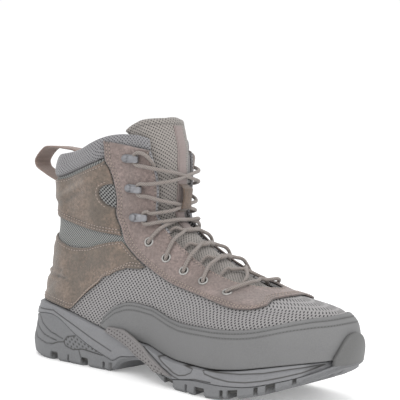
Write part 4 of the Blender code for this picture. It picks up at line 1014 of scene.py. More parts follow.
def makePanels():
    # each panel lies between a low and a high border on the upper's skin
    s = np.linspace(0, 1, 150)
    lowAngle = s * behindFacing(0.432)
    lowCurve = curve((0.00, 0.09, 0.21, 0.39, 0.56), (0.515, 0.497, 0.472, 0.446, 0.432))
    low = bothSides(lowAngle, heightOf(lowCurve(reachAt(lowAngle))))
    highAngle = s * behindFacing(0.853)
    high = bothSides(highAngle, heightOf(collarLow(reachAt(highAngle))) - 1.6 * mm)
    seams = panelPiece("anklePanel", low, high, 110, {
        "share": np.concatenate([-s[::-1], s[1:]]), "finish": "suede", "folds": ankleFolds,
        "window": ankleWindow, "replaces": ("ankle_panel",), "slot": "suede",
        "lowSeams": (2.2 * mm, 4.6 * mm), "highSeams": (2.2 * mm,), "wave": 0.3})
    turn = np.linspace(0.62 * np.pi, 1.38 * np.pi, 60)
    centre = skin(heightOf(0.652), angleAt(0.606))
    for side in (-1, 1):
        x = centre[0] + 16.8 * mm * np.cos(turn)
        z = centre[2] + 11.8 * mm * np.sin(turn) - 0.10 * (x - centre[0])
        back = sliceAt(z, 0.0)[..., 0]
        reach = (x - back) / (sliceAt(z, np.pi)[..., 0] - back)
        angle = angleAt(reach) if side < 0 else 2 * np.pi - angleAt(reach)
        seams.append(skin(z, angle, seat + overlay - 0.05 * mm))

    counter = (
        (0.000, 0.000, 0.000, 0.405), (0.050, 0.000, 0.055, 0.402), (0.100, 0.000, 0.110, 0.396),
        (0.150, 0.000, 0.165, 0.384), (0.200, 0.000, 0.225, 0.358), (0.240, 0.000, 0.290, 0.337),
        (0.267, 0.012, 0.350, 0.345), (0.283, 0.062, 0.410, 0.370), (0.298, 0.130, 0.470, 0.393),
        (0.322, 0.202, 0.520, 0.404), (0.369, 0.283, 0.528, 0.375), (0.436, 0.355, 0.531, 0.350),
        (0.500, 0.412, 0.541, 0.334), (0.545, 0.452, 0.548, 0.322))
    s = np.linspace(0, 1, 170)
    lowAngle = np.pi * spread(counter, 0, s)
    low = bothSides(lowAngle, upperFoot(lowAngle) + last["height"] * spread(counter, 1, s))
    level = spread(counter, 3, s)
    highAngle = np.minimum(np.pi * spread(counter, 2, s), behindFacing(level))
    high = bothSides(highAngle, heightOf(level))
    seams += panelPiece("heelPanel", low, high, 70, {
        "finish": "suede", "folds": heelFolds, "replaces": ("heel_panel",), "slot": "suede",
        "lowSeams": (2.4 * mm, 4.8 * mm), "highSeams": (2.4 * mm,), "wave": 0.22})

    s = np.linspace(0, 1, 230)
    outer = throughFront(angleAt(spread(facing, 1, s)), heightOf(spread(facing, 0, s)))
    inner = heightOf(spread(facing, 2, s))
    inner = throughFront(throatAngle(inner), inner)
    seams += panelPiece("facing", outer, inner, 46, {
        "finish": "suedeFront", "folds": facingFolds, "replaces": ("eyestay",), "slot": "suede",
        "holes": True,
        "seat": facingSeat, "lowSeams": (2.2 * mm, 4.4 * mm), "highSeams": (2.2 * mm,), "wave": 0.2})
    stitchPiece("suedeStitches", seams, "thread", "suede")

    band = curve((0.298, 0.308, 0.325, 0.354, 0.397, 0.450, 0.580, 0.715, 0.810, 0.900, 1.000),
                 (0.12, 0.35, 0.54, 0.80, 0.96, 1.00, 0.97, 1.00, 0.98, 1.02, 0.98))
    start = angleAt((0.298 - 0.025) / (0.985 - 0.025))
    angle = np.linspace(start, np.pi, 260)
    foot = upperFoot(angle)
    top = foot
    for _ in range(3):
        top = foot + 30 * mm * band(sliceAt(top, angle)[..., 0] / last["length"])
    seams = panelPiece("randBand", throughFront(angle, foot), throughFront(angle, top), 34, {
        "finish": "rand", "replaces": ("rand",), "slot": "rand",
        "highSeams": (2.6 * mm, 6.2 * mm), "wave": 0.06,
        "waveScale": 20 * mm})
    stitchPiece("randStitches", seams, "greyThread", "rand", 2.6 * mm, 0.3 * mm)


piping = {"from": 0.47, "to": 0.915, "out": 1.5 * mm, "radius": 1.25 * mm}


def makePiping():
    # a thin mesh tube along each edge of the throat
    for word, side in (("lateral", -1), ("medial", 1)):
        height = heightOf(np.linspace(piping["from"], piping["to"], 90))
        angle = throatAngle(height)
        angle = angle if side < 0 else 2 * np.pi - angle
        path = skin(height, angle, piping["out"])
        tubePiece(f"throatPiping_{word}", path, piping["radius"], "collar", 10, slot="collar")


makePanels()
makePiping()
print("panels and stitches")


# collar roll: a padded ring of rounded sections along the top edge


def makeCollar():
    # superellipse sections between the low and high border, puffed by slow waves
    end = float(throatAngle(heightOf(0.920)))
    angle = np.linspace(-end, end, collar["columns"])
    reach = reachAt(angle)
    low, high = heightOf(collarLow(reach)), heightOf(collarHigh(reach))
    covered = soft(0.44, 0.53, reach)
    outer = collar["bulge"] * (1 - covered)
    inner = -(wall["thick"] + collar["pad"] + (collar["frontPad"] - collar["pad"]) * soft(0.5, 0.66, reach))
    turn = np.linspace(0, 2 * np.pi, collar["sides"], endpoint=False)
    rise = np.sign(np.sin(turn)) * np.abs(np.sin(turn)) ** 0.8
    depth = np.sign(np.cos(turn)) * np.abs(np.cos(turn)) ** 0.7
    height = ((low + high)[:, None] + (high - low)[:, None] * rise[None]) / 2
    out = ((outer + inner)[:, None] + (outer - inner)[:, None] * depth[None]) / 2
    puff = unevenness(skin(height, angle[:, None], 0.0), 16 * mm) * 0.35 * mm
    points = skin(height, angle[:, None] + 0 * height, out + puff * np.sign(depth)[None])
    count = len(turn)
    faces = gridFaces(len(angle), count, True)
    u = runOf(points[:, 0])[:, None] + np.zeros((1, count + 1))
    ring = np.linalg.norm(np.roll(points, -1, 1) - points, axis=-1)
    v = np.concatenate([np.zeros((len(angle), 1)), np.cumsum(ring, 1)], 1)
    lengths = np.stack([u, v], -1).reshape(-1, 2)[gridFaces(len(angle), count + 1)]
    caps = [tuple(range(count)), tuple((len(angle) - 1) * count + k for k in reversed(range(count)))]
    # painted shade along the underside of the roll, where it meets the wall
    paintedShading = -0.5 * hump(rise[None] + 0.95, 0.12) + np.zeros(points.shape[:2])
    made = meshPiece("collarRoll", points, faces, "collar", lengths, paintedShading, extra=caps, replaces=("collar",),
                     slot="collar", sharp=60)


makeCollar()
print("collar")


# tongue, its strip and keeper

tongue = {"edges": ((0.195, 0.950, 0.4), (0.240, 0.880, 0.4), (0.360, 0.810, 0.0), (0.600, 0.760, 0.0),
                    (0.780, 0.735, 0.2), (0.900, 0.715, 1.0), (0.990, 0.690, 1.0),
                    (1.030, 0.650, 1.0), (1.120, 0.640, 1.0)),
          "foot": 0.195, "top": 1.120, "drop": 0.055, "corner": 0.045, "thick": 5 * mm, "slide": 1.2 * mm}
tongueRows = np.array(tongue["edges"])
tongueEdge = curve(tongueRows[:, 0], tongueRows[:, 1])
tongueSink = curve(tongueRows[:, 0], tongueRows[:, 2])


def tongueFace(height, angle, above):
    # the skin moved in by wall, slide and sink, plus above
    sink = collar["frontPad"] * tongueSink(levelOf(height))
    return skin(height, angle, above - wall["thick"] - tongue["slide"] - sink)


def ridgeHeights(low, high, count):
    # heights evenly spaced along the front line of the skin
    fine = np.linspace(float(heightOf(low)), float(heightOf(high)), 600)
    line = sliceAt(fine, np.full(600, np.pi))
    run = runOf(line)
    return np.interp(np.linspace(0, run[-1], count), run, fine)


def makeTongue():
    # grid across and up the tongue's face, thin at its borders; then strip and keeper
    t = np.linspace(-1, 1, 90)[None, :]
    middle = ridgeHeights(tongue["foot"], tongue["top"], 170)
    share = (middle - middle[0]) / (middle[-1] - middle[0])
    drop = tongue["drop"] * t ** 2 + tongue["corner"] * t ** 8
    height = middle[:, None] - last["height"] * drop * share[:, None] ** 3
    edge = angleAt(tongueEdge(levelOf(height)))
    angle = np.pi + (np.pi - edge) * t
    fromTop = (middle[-1] - middle)[:, None]
    thin = roundEdge(fromTop, 3 * mm)
    thin = np.minimum(thin, roundEdge(1 - np.abs(t), 0.08))
    half = tongue["thick"] / 2
    puff = 0.4 * mm * soft(0.80, 0.95, levelOf(height)) * (1 - soft(0.6, 1.0, np.abs(t)))
    outer = tongueFace(height, angle, -half + half * thin + puff)
    inner = tongueFace(height, angle, -half - half * thin)
    # painted shade along the binding line 5 mm below the top
    binding = hump(fromTop - 5 * mm, 0.6 * mm) + 0 * t
    kinds = np.zeros((169, 89), int)
    made = shellPiece("tonguePad", outer, inner, ("tongue", "lining"), paintedShading=-0.5 * binding, kinds=kinds,
                      insideKind=1, replaces=("tongue",), slot="tongue", sharp=60)

    # strip up the middle of the tongue
    rows = ridgeHeights(0.50, 1.075, 90)[:, None]
    half = np.pi - angleAtHalf(rows, np.full(rows.shape, 6.5 * mm))
    t = np.linspace(-1, 1, 18)[None]
    soften = roundEdge(1 - np.abs(t), 0.2)
    strip = np.pi + half * t
    # painted shade along a line just inside each border of the strip
    shellPiece("tongueStrip", tongueFace(rows, strip, 0.25 * mm + 0.9 * mm * soften),
               tongueFace(rows, strip, -0.3 * mm), "strip", slot="suede",
               paintedShading=-0.4 * hump(np.abs(t) - 0.75, 0.07) + 0 * rows)

    # keeper that bridges the lace
    rows = heightOf(np.linspace(0.590, 0.744, 60))[:, None]
    half = np.pi - angleAtHalf(rows, np.full(rows.shape, 5.5 * mm))
    t = np.linspace(-1, 1, 22)[None]
    end = np.linspace(0, 1, 60)[:, None]
    arch = soft(0, 0.16, end) * soft(0, 0.16, 1 - end)
    rise = tongue["slide"] + 4.9 * mm * arch
    soften = roundEdge(1 - np.abs(t), 0.12)
    pinch = 1 - 0.18 * hump(end - 0.5, 0.3)
    strap = np.pi + half * t * pinch
    # painted shade along a line just inside each border of the keeper
    shellPiece("laceKeeper", tongueFace(rows, strap, rise + 0.4 * mm + 0.9 * mm * soften),
               tongueFace(rows, strap, rise), "strap", replaces=("lace_keeper",), slot="suede",
               paintedShading=-0.5 * hump(np.abs(t) - 0.8, 0.06) + 0 * rows)


makeTongue()
print("tongue")


# pull loop

loop = {"width": 20 * mm, "thick": 1.6 * mm, "bends": (
    (3.5, 0.690), (12.0, 0.708), (23.0, 0.738), (33.0, 0.775), (34.5, 0.805), (29.0, 0.862), (22.0, 0.893),
    (12.0, 0.897), (2.0, 0.893), (-8.0, 0.888), (-13.8, 0.862), (-14.6, 0.800))}


def makeLoop():
    # a flat band carried along its bends in side view
    s = np.linspace(0, 1, 140)
    level = spread(loop["bends"], 1, s)
    x = float(sliceAt(heightOf(0.700), 0.0)[0]) - spread(loop["bends"], 0, s) * mm
    path = np.stack([x, heightOf(level)], -1)
    along = np.gradient(path, axis=0)
    along /= np.linalg.norm(along, axis=1)[:, None]
    across = np.linspace(-1, 1, 25)[None]
    thin = roundEdge(1 - np.abs(across), 0.08)
    half = loop["thick"] / 2 * (0.35 + 0.65 * thin)
    outward = np.stack([along[:, 1], -along[:, 0]], -1)[:, None]
    outer = path[:, None] - outward * half[..., None]
    inner = path[:, None] + outward * half[..., None]
    y = across * loop["width"] / 2 + 0 * s[:, None]
    # painted shade along a line just inside each border of the band
    shellPiece("pullLoop", np.stack([outer[..., 0], y, outer[..., 1]], -1),
               np.stack([inner[..., 0], y, inner[..., 1]], -1), "webbing", replaces=("pull_loop",),
               slot="pull_loop", lengths=np.stack([runOf(path)[:, None] + 0 * y, y], -1),
               paintedShading=-0.4 * hump(np.abs(across) - 0.82, 0.05) + 0 * y)


makeLoop()
print("pull loop")


# eyelets, hooks and lace


def seatFrame(place, side, out):
    # place on the upper: ahead towards the throat, across, and out of the surface
    height = heightOf(place[0])
    angle = angleAt(place[1]) if side < 0 else 2 * np.pi - angleAt(place[1])
    point = skin(height, angle, out)
    outward = skin(height, angle, out + 1 * mm) - point
    outward /= np.linalg.norm(outward)
    ahead = skin(height, angle - side * 0.02, out) - point
    ahead = ahead - outward * (ahead @ outward)
    ahead /= np.linalg.norm(ahead)
    return point, ahead, np.cross(outward, ahead), outward


def placed(frameHere, local):
    # local ahead, across and out to the boot's frame
    point, ahead, across, outward = frameHere
    return point + local[..., :1] * ahead + local[..., 1:2] * across + local[..., 2:] * outward


facingTop = 2 * seat + overlay
ringShape = {"hole": 2.5 * mm, "barrel": 3.0 * mm, "flange": 4.1 * mm, "high": 0.9 * mm, "sides": 40}
hookShape = {"length": 13.5 * mm, "width": 7 * mm, "sheet": 0.9 * mm, "bend": 2.6 * mm, "seat": 3.4 * mm,
             "overhang": 3.4 * mm, "rivet": 3.3 * mm, "rivetHigh": 2.4 * mm}


def makeEyelets():
    # barrel and half-round flange turned about each hole's axis
    w = ringShape
    dome = np.linspace(0, np.pi, 11)
    middle, half = (w["hole"] + w["flange"]) / 2, (w["flange"] - w["hole"]) / 2
    radius = np.concatenate([[w["hole"], w["barrel"], w["barrel"]], middle + half * np.cos(dome)])
    rise = np.concatenate([[-5.2 * mm, -5.2 * mm, 0.0], w["high"] * np.sin(dome)])
    turn = np.linspace(0, 2 * np.pi, w["sides"], endpoint=False)
    around = [radius[:, None] * np.cos(turn), radius[:, None] * np.sin(turn), rise[:, None] + 0 * turn]
    local = np.stack(around, -1)
    count = len(radius)
    faces = gridFaces(count, len(turn), True)
    close = np.stack([(count - 1) * len(turn) + np.arange(len(turn)),
                      (count - 1) * len(turn) + (np.arange(len(turn)) + 1) % len(turn),
                      (np.arange(len(turn)) + 1) % len(turn), np.arange(len(turn))], -1)
    faces = np.concatenate([faces, close])
    for word, side in (("lateral", -1), ("medial", 1)):
        for number, place in enumerate(eyelets, 1):
            points = placed(seatFrame(place, side, facingTop - 0.3 * mm), local)
            meshPiece(f"eyeletRing_{word}_{number}", points, faces, "ring", slot="metal",
                      replaces=(f"eyelet_{word}_{number}",))


def makeHooks():
    # sheet strip in side view: plate, bend round the lace, lip back over the plate, and a rivet dome
    w = hookShape
    half, bend = w["length"] / 2, w["bend"]
    turn = np.linspace(-np.pi / 2, np.pi / 2, 14)
    arcX, arcZ = half - bend + bend * np.cos(turn), bend + bend * np.sin(turn)
    front = half + w["overhang"]
    arcX = arcX + w["overhang"]
    lipBack = np.linspace(front - bend, front - 8.2 * mm, 12)[1:]
    x = np.concatenate([np.linspace(-half, front - bend, 18)[:-1], arcX, lipBack])
    z = np.concatenate([np.zeros(17), arcZ, 2 * bend + 0.9 * mm * soft(0, 1, np.linspace(0, 1, 12)[1:])])
    path = np.stack([x, z], -1)
    run = runOf(path)
    fromStart, fromEnd = run, run[-1] - run
    wide = w["width"] / 2 * roundEdge(fromStart, 3.4 * mm)
    wide = np.minimum(wide, w["width"] / 2 * (0.72 + 0.28 * soft(0, 1, fromEnd / run[-1])))
    wide = np.minimum(wide, w["width"] / 2 * roundEdge(fromEnd, 3.6 * mm) + 0.2 * mm)
    wide = np.minimum(wide, w["width"] / 2 * (1 - 0.42 * hump(run - run[24], 2.6 * mm)))
    wide = np.maximum(wide, 0.3 * mm)
    along = np.gradient(path, axis=0)
    along /= np.linalg.norm(along, axis=1)[:, None]
    normal = np.stack([-along[:, 1], along[:, 0]], -1)
    across = np.linspace(-1, 1, 11)
    belly = 0.35 * mm * (1 - across ** 2)
    sheets = []
    for lift in (0.0, w["sheet"]):
        high = lift * (1 - 0.5 * (np.abs(across) > 0.99))
        lip = soft(0, 4 * mm, run - run[30])[:, None] * belly[None] * 2.4
        flat = path[:, None] + normal[:, None] * (high[None] - lip)[..., None]
        sheets.append(np.stack([flat[..., 0], wide[:, None] * across[None], flat[..., 1]], -1))
    a = np.linspace(0, np.pi / 2, 7)
    b = np.linspace(0, 2 * np.pi, 24, endpoint=False)
    flatRadius = w["rivet"] * np.cos(a)[:, None]
    dome = np.stack([-half + 3.2 * mm + flatRadius * np.cos(b), flatRadius * np.sin(b),
                     w["sheet"] * 0.8 + w["rivetHigh"] * np.sin(a)[:, None] + 0 * b], -1)
    for word, side in (("lateral", -1), ("medial", 1)):
        for number, place in enumerate(hooks, 1):
            here = seatFrame(place, side, w["seat"])
            shellPiece(f"hook_{word}_{number}_strip", placed(here, sheets[1]), placed(here, sheets[0]),
                       "metal", replaces=(f"hook_{word}_{number}",), slot="metal")
            points = placed(here, dome)
            faces = gridFaces(len(a), len(b), True)
            caps = [tuple(range(len(b)))]
            meshPiece(f"rivet_{word}_{number}", points, faces[:-len(b)], "metal", slot="metal",
                      extra=caps + [tuple((len(a) - 2) * len(b) + k for k in range(len(b)))[::-1]])


lace = {"radius": 1.5 * mm, "dip": 1.9 * mm, "edgeRoom": 3.7 * mm, "sides": 12}


def ridgeOver(angle, height):
    # height of the ridge point nearest to a place in side view
    ridge = heightOf(np.linspace(0.233, 1.05, 400))
    apart = sliceAt(ridge, np.pi) - sliceAt(height, angle)
    return float(ridge[np.argmin(np.hypot(apart[:, 0], apart[:, 2]))])


def strandOver(start, end, above, count=30):
    # from side to side over the tongue, square to its ridge
    t = np.linspace(0, 1, count)
    angle = start[0] + (end[0] - start[0]) * t
    straight = start[1] + (end[1] - start[1]) * t
    first = ridgeOver(*start)
    arch = first + (ridgeOver(*end) - first) * t - straight
    height = straight + arch * (1 - np.abs(2 * t - 1) ** 1.3)
    middle = -wall["thick"] - tongue["slide"] + lace["radius"] + lace["dip"]
    side = np.where(t < 0.5, above[0], above[1])
    return skin(height, angle, middle + (side - middle) * soft(0.10, 0.65, np.abs(2 * t - 1)))


def mirrored(spot):
    # the same place on the other side
    return 2 * np.pi - spot[0], spot[1]


def laceSpots():
    # where strands start and end: at rims, under the facing's edge and beside hooks
    apart = lace["radius"] + seat

    def atRim(place, towards):
        # just beyond an eyelet's hole, up or down the throat
        angle = float(angleAt(place[1]))
        height = float(heightOf(place[0]))
        slope = np.linalg.norm(sliceAt(height + 0.4 * mm, angle) - sliceAt(height, angle)) / (0.4 * mm)
        return angle, height - towards * apart / slope

    def atEdge(place):
        # the point near the throat's edge that is nearest to an eyelet
        height = heightOf(np.linspace(0.236, 0.64, 300))
        angle = angleAtHalf(height, throat["half"] - lace["edgeRoom"])
        ring = sliceAt(float(heightOf(place[0])), float(angleAt(place[1])))
        near = np.argmin(np.linalg.norm(sliceAt(height, angle) - ring, axis=1))
        return float(angle[near]), float(height[near])

    def byHook(place, towards):
        # beside a hook's bend, above or below it
        height = float(heightOf(place[0]))
        length = float(sliceAt(height, np.pi)[0] - sliceAt(height, 0.0)[0])
        ahead = hookShape["length"] / 2 + hookShape["overhang"] - 0.5 * mm
        return float(angleAt(place[1] + ahead / length)), height - towards * 4.3 * mm
    return atRim, atEdge, byHook


def makeLace():
    # two laces cross from place to place, with a bar over the lowest pair
    atRim, atEdge, byHook = laceSpots()
    r = lace["radius"]
    overRing = facingTop + 0.9 * mm + r
    under = -wall["thick"] - tongue["slide"] + r + lace["dip"]
    lipHigh = hookShape["seat"] + hookShape["bend"]
    first = atRim(eyelets[0], 1)
    bar = strandOver(first, mirrored(first), (overRing, overRing), 36)
    places = eyelets + hooks
    for side, word in ((-1, "lateral"), (1, "medial")):
        route = []
        here = side
        if side < 0:
            start, finish = seatFrame(eyelets[0], -1, 0.0), seatFrame(eyelets[0], 1, 0.0)
            ends = [placed(f, np.array([0.0, 0.0, -3 * mm])) for f in (start, finish)]
            tops = [placed(f, np.array([0.0, 0.0, facingTop + 0.6 * mm])) for f in (start, finish)]
            path = np.concatenate([[ends[0], tops[0]], bar[3:-3:3], [tops[1], ends[1]]])
            tubePiece("laceBar", smoothPath(path, 120), r, "lace", lace["sides"], replaces=("lace_bar",),
                      slot="lace")
        for k in range(len(places) - 1):
            a, b = places[k], places[k + 1]
            if k == 0:
                begin, low = atEdge(a), under
            elif a in eyelets:
                begin, low = atRim(a, -1), overRing
            else:
                begin, low = byHook(a, -1), lipHigh
            finish, high = (atEdge(b), under) if b in eyelets else (byHook(b, 1), lipHigh)
            one, two = begin, mirrored(finish)
            if here > 0:
                one, two = mirrored(begin), finish
            run = strandOver(one, two, (low, high))
            if k == 0:
                hidden = seatFrame(a, here, -wall["thick"] - r)
                route.append(placed(hidden, np.array([[2 * mm, 0, 0]])))
                route.append(run[2:-2:3])
            elif a in eyelets:
                ring = seatFrame(a, here, 0.0)
                through = np.array([[0.0, 0.0, -2.5 * mm], [0.0, 0.0, facingTop + 0.4 * mm]])
                route.append(placed(ring, through))
                route.append(run[4:-1:3])
            else:
                route.append(run[1:-1:3])
            here = -here
            if b in eyelets:
                hidden = seatFrame(b, here, -wall["thick"] - r)
                route.append(placed(hidden, np.array([[5 * mm, 0, 0]])))
            else:
                hook = seatFrame(b, here, hookShape["seat"] + hookShape["bend"])
                inner = hookShape["length"] / 2 + hookShape["overhang"] - hookShape["bend"] - 0.6 * mm
                up = 1 if here < 0 else -1
                turnPoints = [[inner + 3.2 * mm, -5.0 * mm * up, 0.3 * mm], [inner, -3.6 * mm * up, 0.0],
                              [inner - 0.6 * mm, 0.0, 0.0], [inner, 3.6 * mm * up, 0.0],
                              [inner + 3.2 * mm, 5.0 * mm * up, 0.3 * mm]]
                if k == len(places) - 2:
                    turnPoints = turnPoints[:4] + [[inner + 4.0 * mm, 5.2 * mm * up, -0.5 * mm],
                                                   [inner + 9.5 * mm, 3.0 * mm * up, -2.0 * mm],
                                                   [inner + 13 * mm, -3.0 * mm * up, -6.0 * mm],
                                                   [inner + 14 * mm, -9.0 * mm * up, -8.0 * mm]]
                route.append(placed(hook, np.array(turnPoints)))
        path = smoothPath(np.concatenate([np.atleast_2d(p) for p in route]), 900)
        replaced = tuple(f"lace_cross_{n}" for n in range(1, 8)) if side < 0 else ()
        tubePiece(f"lace_{word}", path, r, "lace", lace["sides"], replaces=replaced, slot="lace")


makeEyelets()
makeHooks()
makeLace()
print("eyelets, hooks and lace")


# sole: side reliefs are lines and areas seen from the side, in mm from the heel's back and the floor

slots = (
    (0.138, -1, 0.065, 0.17, 0.04), (0.248, -1, 0.060, 0.15, 0.03), (0.575, -1, 0.085, 0.16, -0.06),
    (0.682, -1, 0.080, 0.18, -0.06), (0.777, -1, 0.070, 0.18, -0.05), (0.869, -1, 0.055, 0.15, -0.04),
    (0.138, 1, 0.065, 0.17, 0.04), (0.248, 1, 0.060, 0.15, 0.03), (0.593, 1, 0.075, 0.20, 0.10),
    (0.685, 1, 0.080, 0.22, 0.10), (0.780, 1, 0.075, 0.20, 0.08), (0.869, 1, 0.055, 0.15, 0.05))
rubberSide = {
    "lines": (
        ((4, 31), (9, 23), (20, 16), (34, 13), (41, 13.5), (47, 16)),
        ((10, 34), (17, 26), (29, 20), (45, 17)),
        ((18, 36.5), (26, 29), (38, 23), (52, 19.5)),
        ((1, 16), (6, 12), (4, 8)),
        ((12, 12), (10, 3)),
        ((47, 16), (53, 17), (57, 22), (66, 24)),
        ((53, 17), (56, 14), (64, 12), (74, 14), (95, 12)),
        ((70, 13), (72, 8), (76, 3)),
    ),
    "dots": ((53, 17), (57, 22), (66, 24), (80, 18.5), (95, 13.5), (74, 14.5), (64, 12.5), (56, 14.5)),
    "dotPitch": 4.0, "dotSize": 1.0,
}
foamSide = {
    "areas": (
        (((157, 25), (163, 20), (169, 17), (178, 13.5), (184, 12.5), (191, 14), (196, 16.5), (198, 20),
          (180, 22.5)), 0.9),
        (((208, 21.5), (210, 18.5), (219, 17), (232, 16.2), (245, 17.4), (258, 20.4), (271, 24.6), (283, 29),
          (293, 35), (276, 31), (258, 26), (240, 23), (222, 21.5)), 0.9),
    ),
    "lines": (
        ((140, 27), (151, 22), (163, 16), (176, 11), (185, 9), (201, 12.5), (216, 12.8)),
        ((20, 41), (40, 42), (60, 34), (84, 24), (104, 17)),
    ),
}
treadLines = (
    # line in mm from the heel's back, width, depth
    (((104, -40), (106, 0), (104, 40)), 3.0, 2.2),
    (((30, -12), (40, -7), (52, -11), (64, -6), (80, -10), (92, -5)), 4.6, 4.0),
    (((30, 12), (40, 7), (52, 11), (64, 6), (80, 10), (92, 5)), 4.6, 4.0),
    (((16, -8), (20, 0), (16, 8)), 3.2, 3.0),
    (((38, -24), (48, -18), (58, -22)), 2.4, 3.0), (((38, 24), (48, 18), (58, 22)), 2.4, 3.0),
    (((70, -26), (80, -17), (90, -22)), 2.4, 3.0), (((70, 26), (80, 17), (90, 22)), 2.4, 3.0),
    (((178, -30), (208, -31), (236, -30), (260, -26), (281, -18)), 3.0, 4.0),
    (((172, 4), (190, 7), (208, 9.5), (236, 11), (262, 11.5), (282, 10)), 3.0, 4.0),
    (((168, 10), (188, 13), (208, 15.5), (236, 17), (258, 17.5)), 1.4, 2.2),
    (((150, 12), (166, 16), (176, 9), (170, 3)), 2.0, 2.5),
    (((186, -26), (194, -14), (189, -2)), 2.2, 3.2), (((200, -28), (194, -14)), 1.6, 2.6),
    (((214, -27), (222, -13), (216, 2)), 2.2, 3.2), (((228, -27), (222, -13)), 1.6, 2.6),
    (((242, -25), (248, -11), (243, 4)), 2.2, 3.2), (((255, -23), (248, -11)), 1.6, 2.6),
    (((264, -19), (268, -8), (264, 5)), 2.0, 3.0),
    (((190, 20), (200, 34), (196, 44)), 1.8, 3.0), (((222, 22), (230, 36), (226, 47)), 1.8, 3.0),
    (((250, 21), (257, 34), (253, 42)), 1.8, 3.0),
    (((196, -36), (190, -50)), 1.6, 2.4), (((225, -36), (220, -52)), 1.6, 2.4),
    (((252, -34), (249, -48)), 1.6, 2.4),
    (((284, -14), (292, -6), (286, 0), (294, 6), (286, 12)), 1.6, 2.2),
    (((274, -14), (281, -6), (276, 1), (283, 6)), 1.4, 1.8),
    (((122, -14), (132, -20), (146, -16), (150, -2), (140, 6), (126, 2), (122, -14)), 1.3, 1.2),
    (((112, -30), (124, -12)), 1.2, 1.0), (((148, 2), (166, 30)), 1.2, 1.0),
    (((112, 26), (128, 4)), 1.2, 1.0),
)
smallGaps = ((225, 2.2), (252, 2.2), (278, 2.0), (191, 1.6), (58, 1.6), (96, 1.6))


def treadDepth(x, y):
    # how deep the tread is cut at a place, in metres
    xMm, yMm = x / mm, y / mm
    depth = np.zeros(np.shape(xMm))
    for line, wide, deep in treadLines:
        away = lineDistance(xMm, yMm, line)
        depth = np.maximum(depth, deep * (1 - soft(wide / 2 - 0.3, wide / 2 + 0.6, away)))
    for along, side, width, length, slant in slots:
        at = along * last["length"]
        half = float(soleHalf(at, side))
        line = ((at / mm, side * (half + 0.01) / mm),
                ((at + slant * last["ball"]) / mm, side * (half - length * last["ball"]) / mm))
        inward = np.clip((half - side * y) / (length * last["ball"]), 0, 1)
        wide = width * last["ball"] / mm * (1 - 0.45 * inward)
        depth = np.maximum(depth, 4.5 * (1 - soft(-0.3, 0.6, lineDistance(xMm, yMm, line) - wide / 2)))
    for at, wide in smallGaps:
        for side in (-1, 1):
            half = float(soleHalf(at * mm, side)) / mm
            line = ((at, side * (half + 10)), (at + 2, side * (half - 9)))
            away = lineDistance(xMm, yMm, line)
            depth = np.maximum(depth, 3.2 * (1 - soft(wide / 2 - 0.3, wide / 2 + 0.6, away)))
    return depth * mm


def soleStations(count):
    # mean of cosine and even spacing, so that heel and toe are denser
    phi = np.linspace(0, np.pi, count)
    return last["length"] * ((1 - np.cos(phi)) / 2 + phi / np.pi) / 2


def soleRing(x, inset):
    # lateral side heel to toe, then the medial side back, moved in along the plan normal
    lateral = np.stack([x, -soleHalf(x, -1)], 1)
    medial = np.stack([x, soleHalf(x, 1)], 1)[::-1]
    ring = np.concatenate([lateral, medial[1:-1]])
    along = np.roll(ring, -1, 0) - np.roll(ring, 1, 0)
    along /= np.linalg.norm(along, axis=1)[:, None]
    inward = np.stack([-along[:, 1], along[:, 0]], 1)
    return ring + inward * np.broadcast_to(inset, len(ring))[:, None]


def stackPiece(name, rings, finish, paintedShading, bottom=None, bottomShading=None, **more):
    # rings from below to above; bottom is a grid between the two sides of the first ring
    count = rings.shape[1]
    half = count // 2
    faces = [gridFaces(len(rings), count, True)]
    points = [rings.reshape(-1, 3)]
    # painted shading of the rings, and below of the bottom grid
    paintedShadings = [paintedShading.ravel()]
    top = (len(rings) - 1) * count
    i = np.arange(half)
    across = np.stack([i, i + 1, (count - i - 1) % count, (count - i) % count], -1)
    extra = []
    if bottom is None:
        faces.append(across[1:-1, ::-1])
        extra += [(across[0, 1], across[0, 0], across[0, 2]), (across[-1, 1], across[-1, 0], across[-1, 3])]
    else:
        rows, columns = bottom.shape[:2]
        start = len(rings) * count
        index = start + np.arange((rows - 2) * (columns - 2)).reshape(rows - 2, columns - 2)
        lateral = np.arange(1, half)
        medial = count - lateral
        full = np.concatenate([lateral[:, None], index, medial[:, None]], 1)
        a, b, c, d = full[:-1, :-1], full[:-1, 1:], full[1:, 1:], full[1:, :-1]
        faces.append(np.stack([a, b, c, d], -1).reshape(-1, 4))
        points.append(bottom[1:-1, 1:-1].reshape(-1, 3))
        paintedShadings.append(bottomShading[1:-1, 1:-1].ravel())
        extra += [(0, *full[0][::-1]), (half, *full[-1])]
    upper = top + across
    faces.append(upper[1:-1])
    extra += [(upper[0, 0], upper[0, 1], upper[0, 2]), (upper[-1, 0], upper[-1, 1], upper[-1, 3])]
    return meshPiece(name, np.concatenate(points), np.concatenate(faces), finish, paintedShading=np.concatenate(paintedShadings),
                     extra=extra, **more)


def lineRelief(x, z, lines, width, depth):
    # deepest bell over the lines, in mm
    cut = np.zeros(x.shape)
    for line in lines:
        cut = np.maximum(cut, depth * hump(lineDistance(x, z, line), width))
    return cut


def heelTaper(xMm, zMm):
    # the heel's back leans in above its widest line and rounds in below it, in mm
    above = 4.0 * np.clip((zMm - 20) / 25, 0, 1) ** 1.2
    below = 3.2 * np.clip((14 - zMm) / 14, 0, 1) ** 1.6
    return (above + below) * (1 - soft(0, 42, xMm))


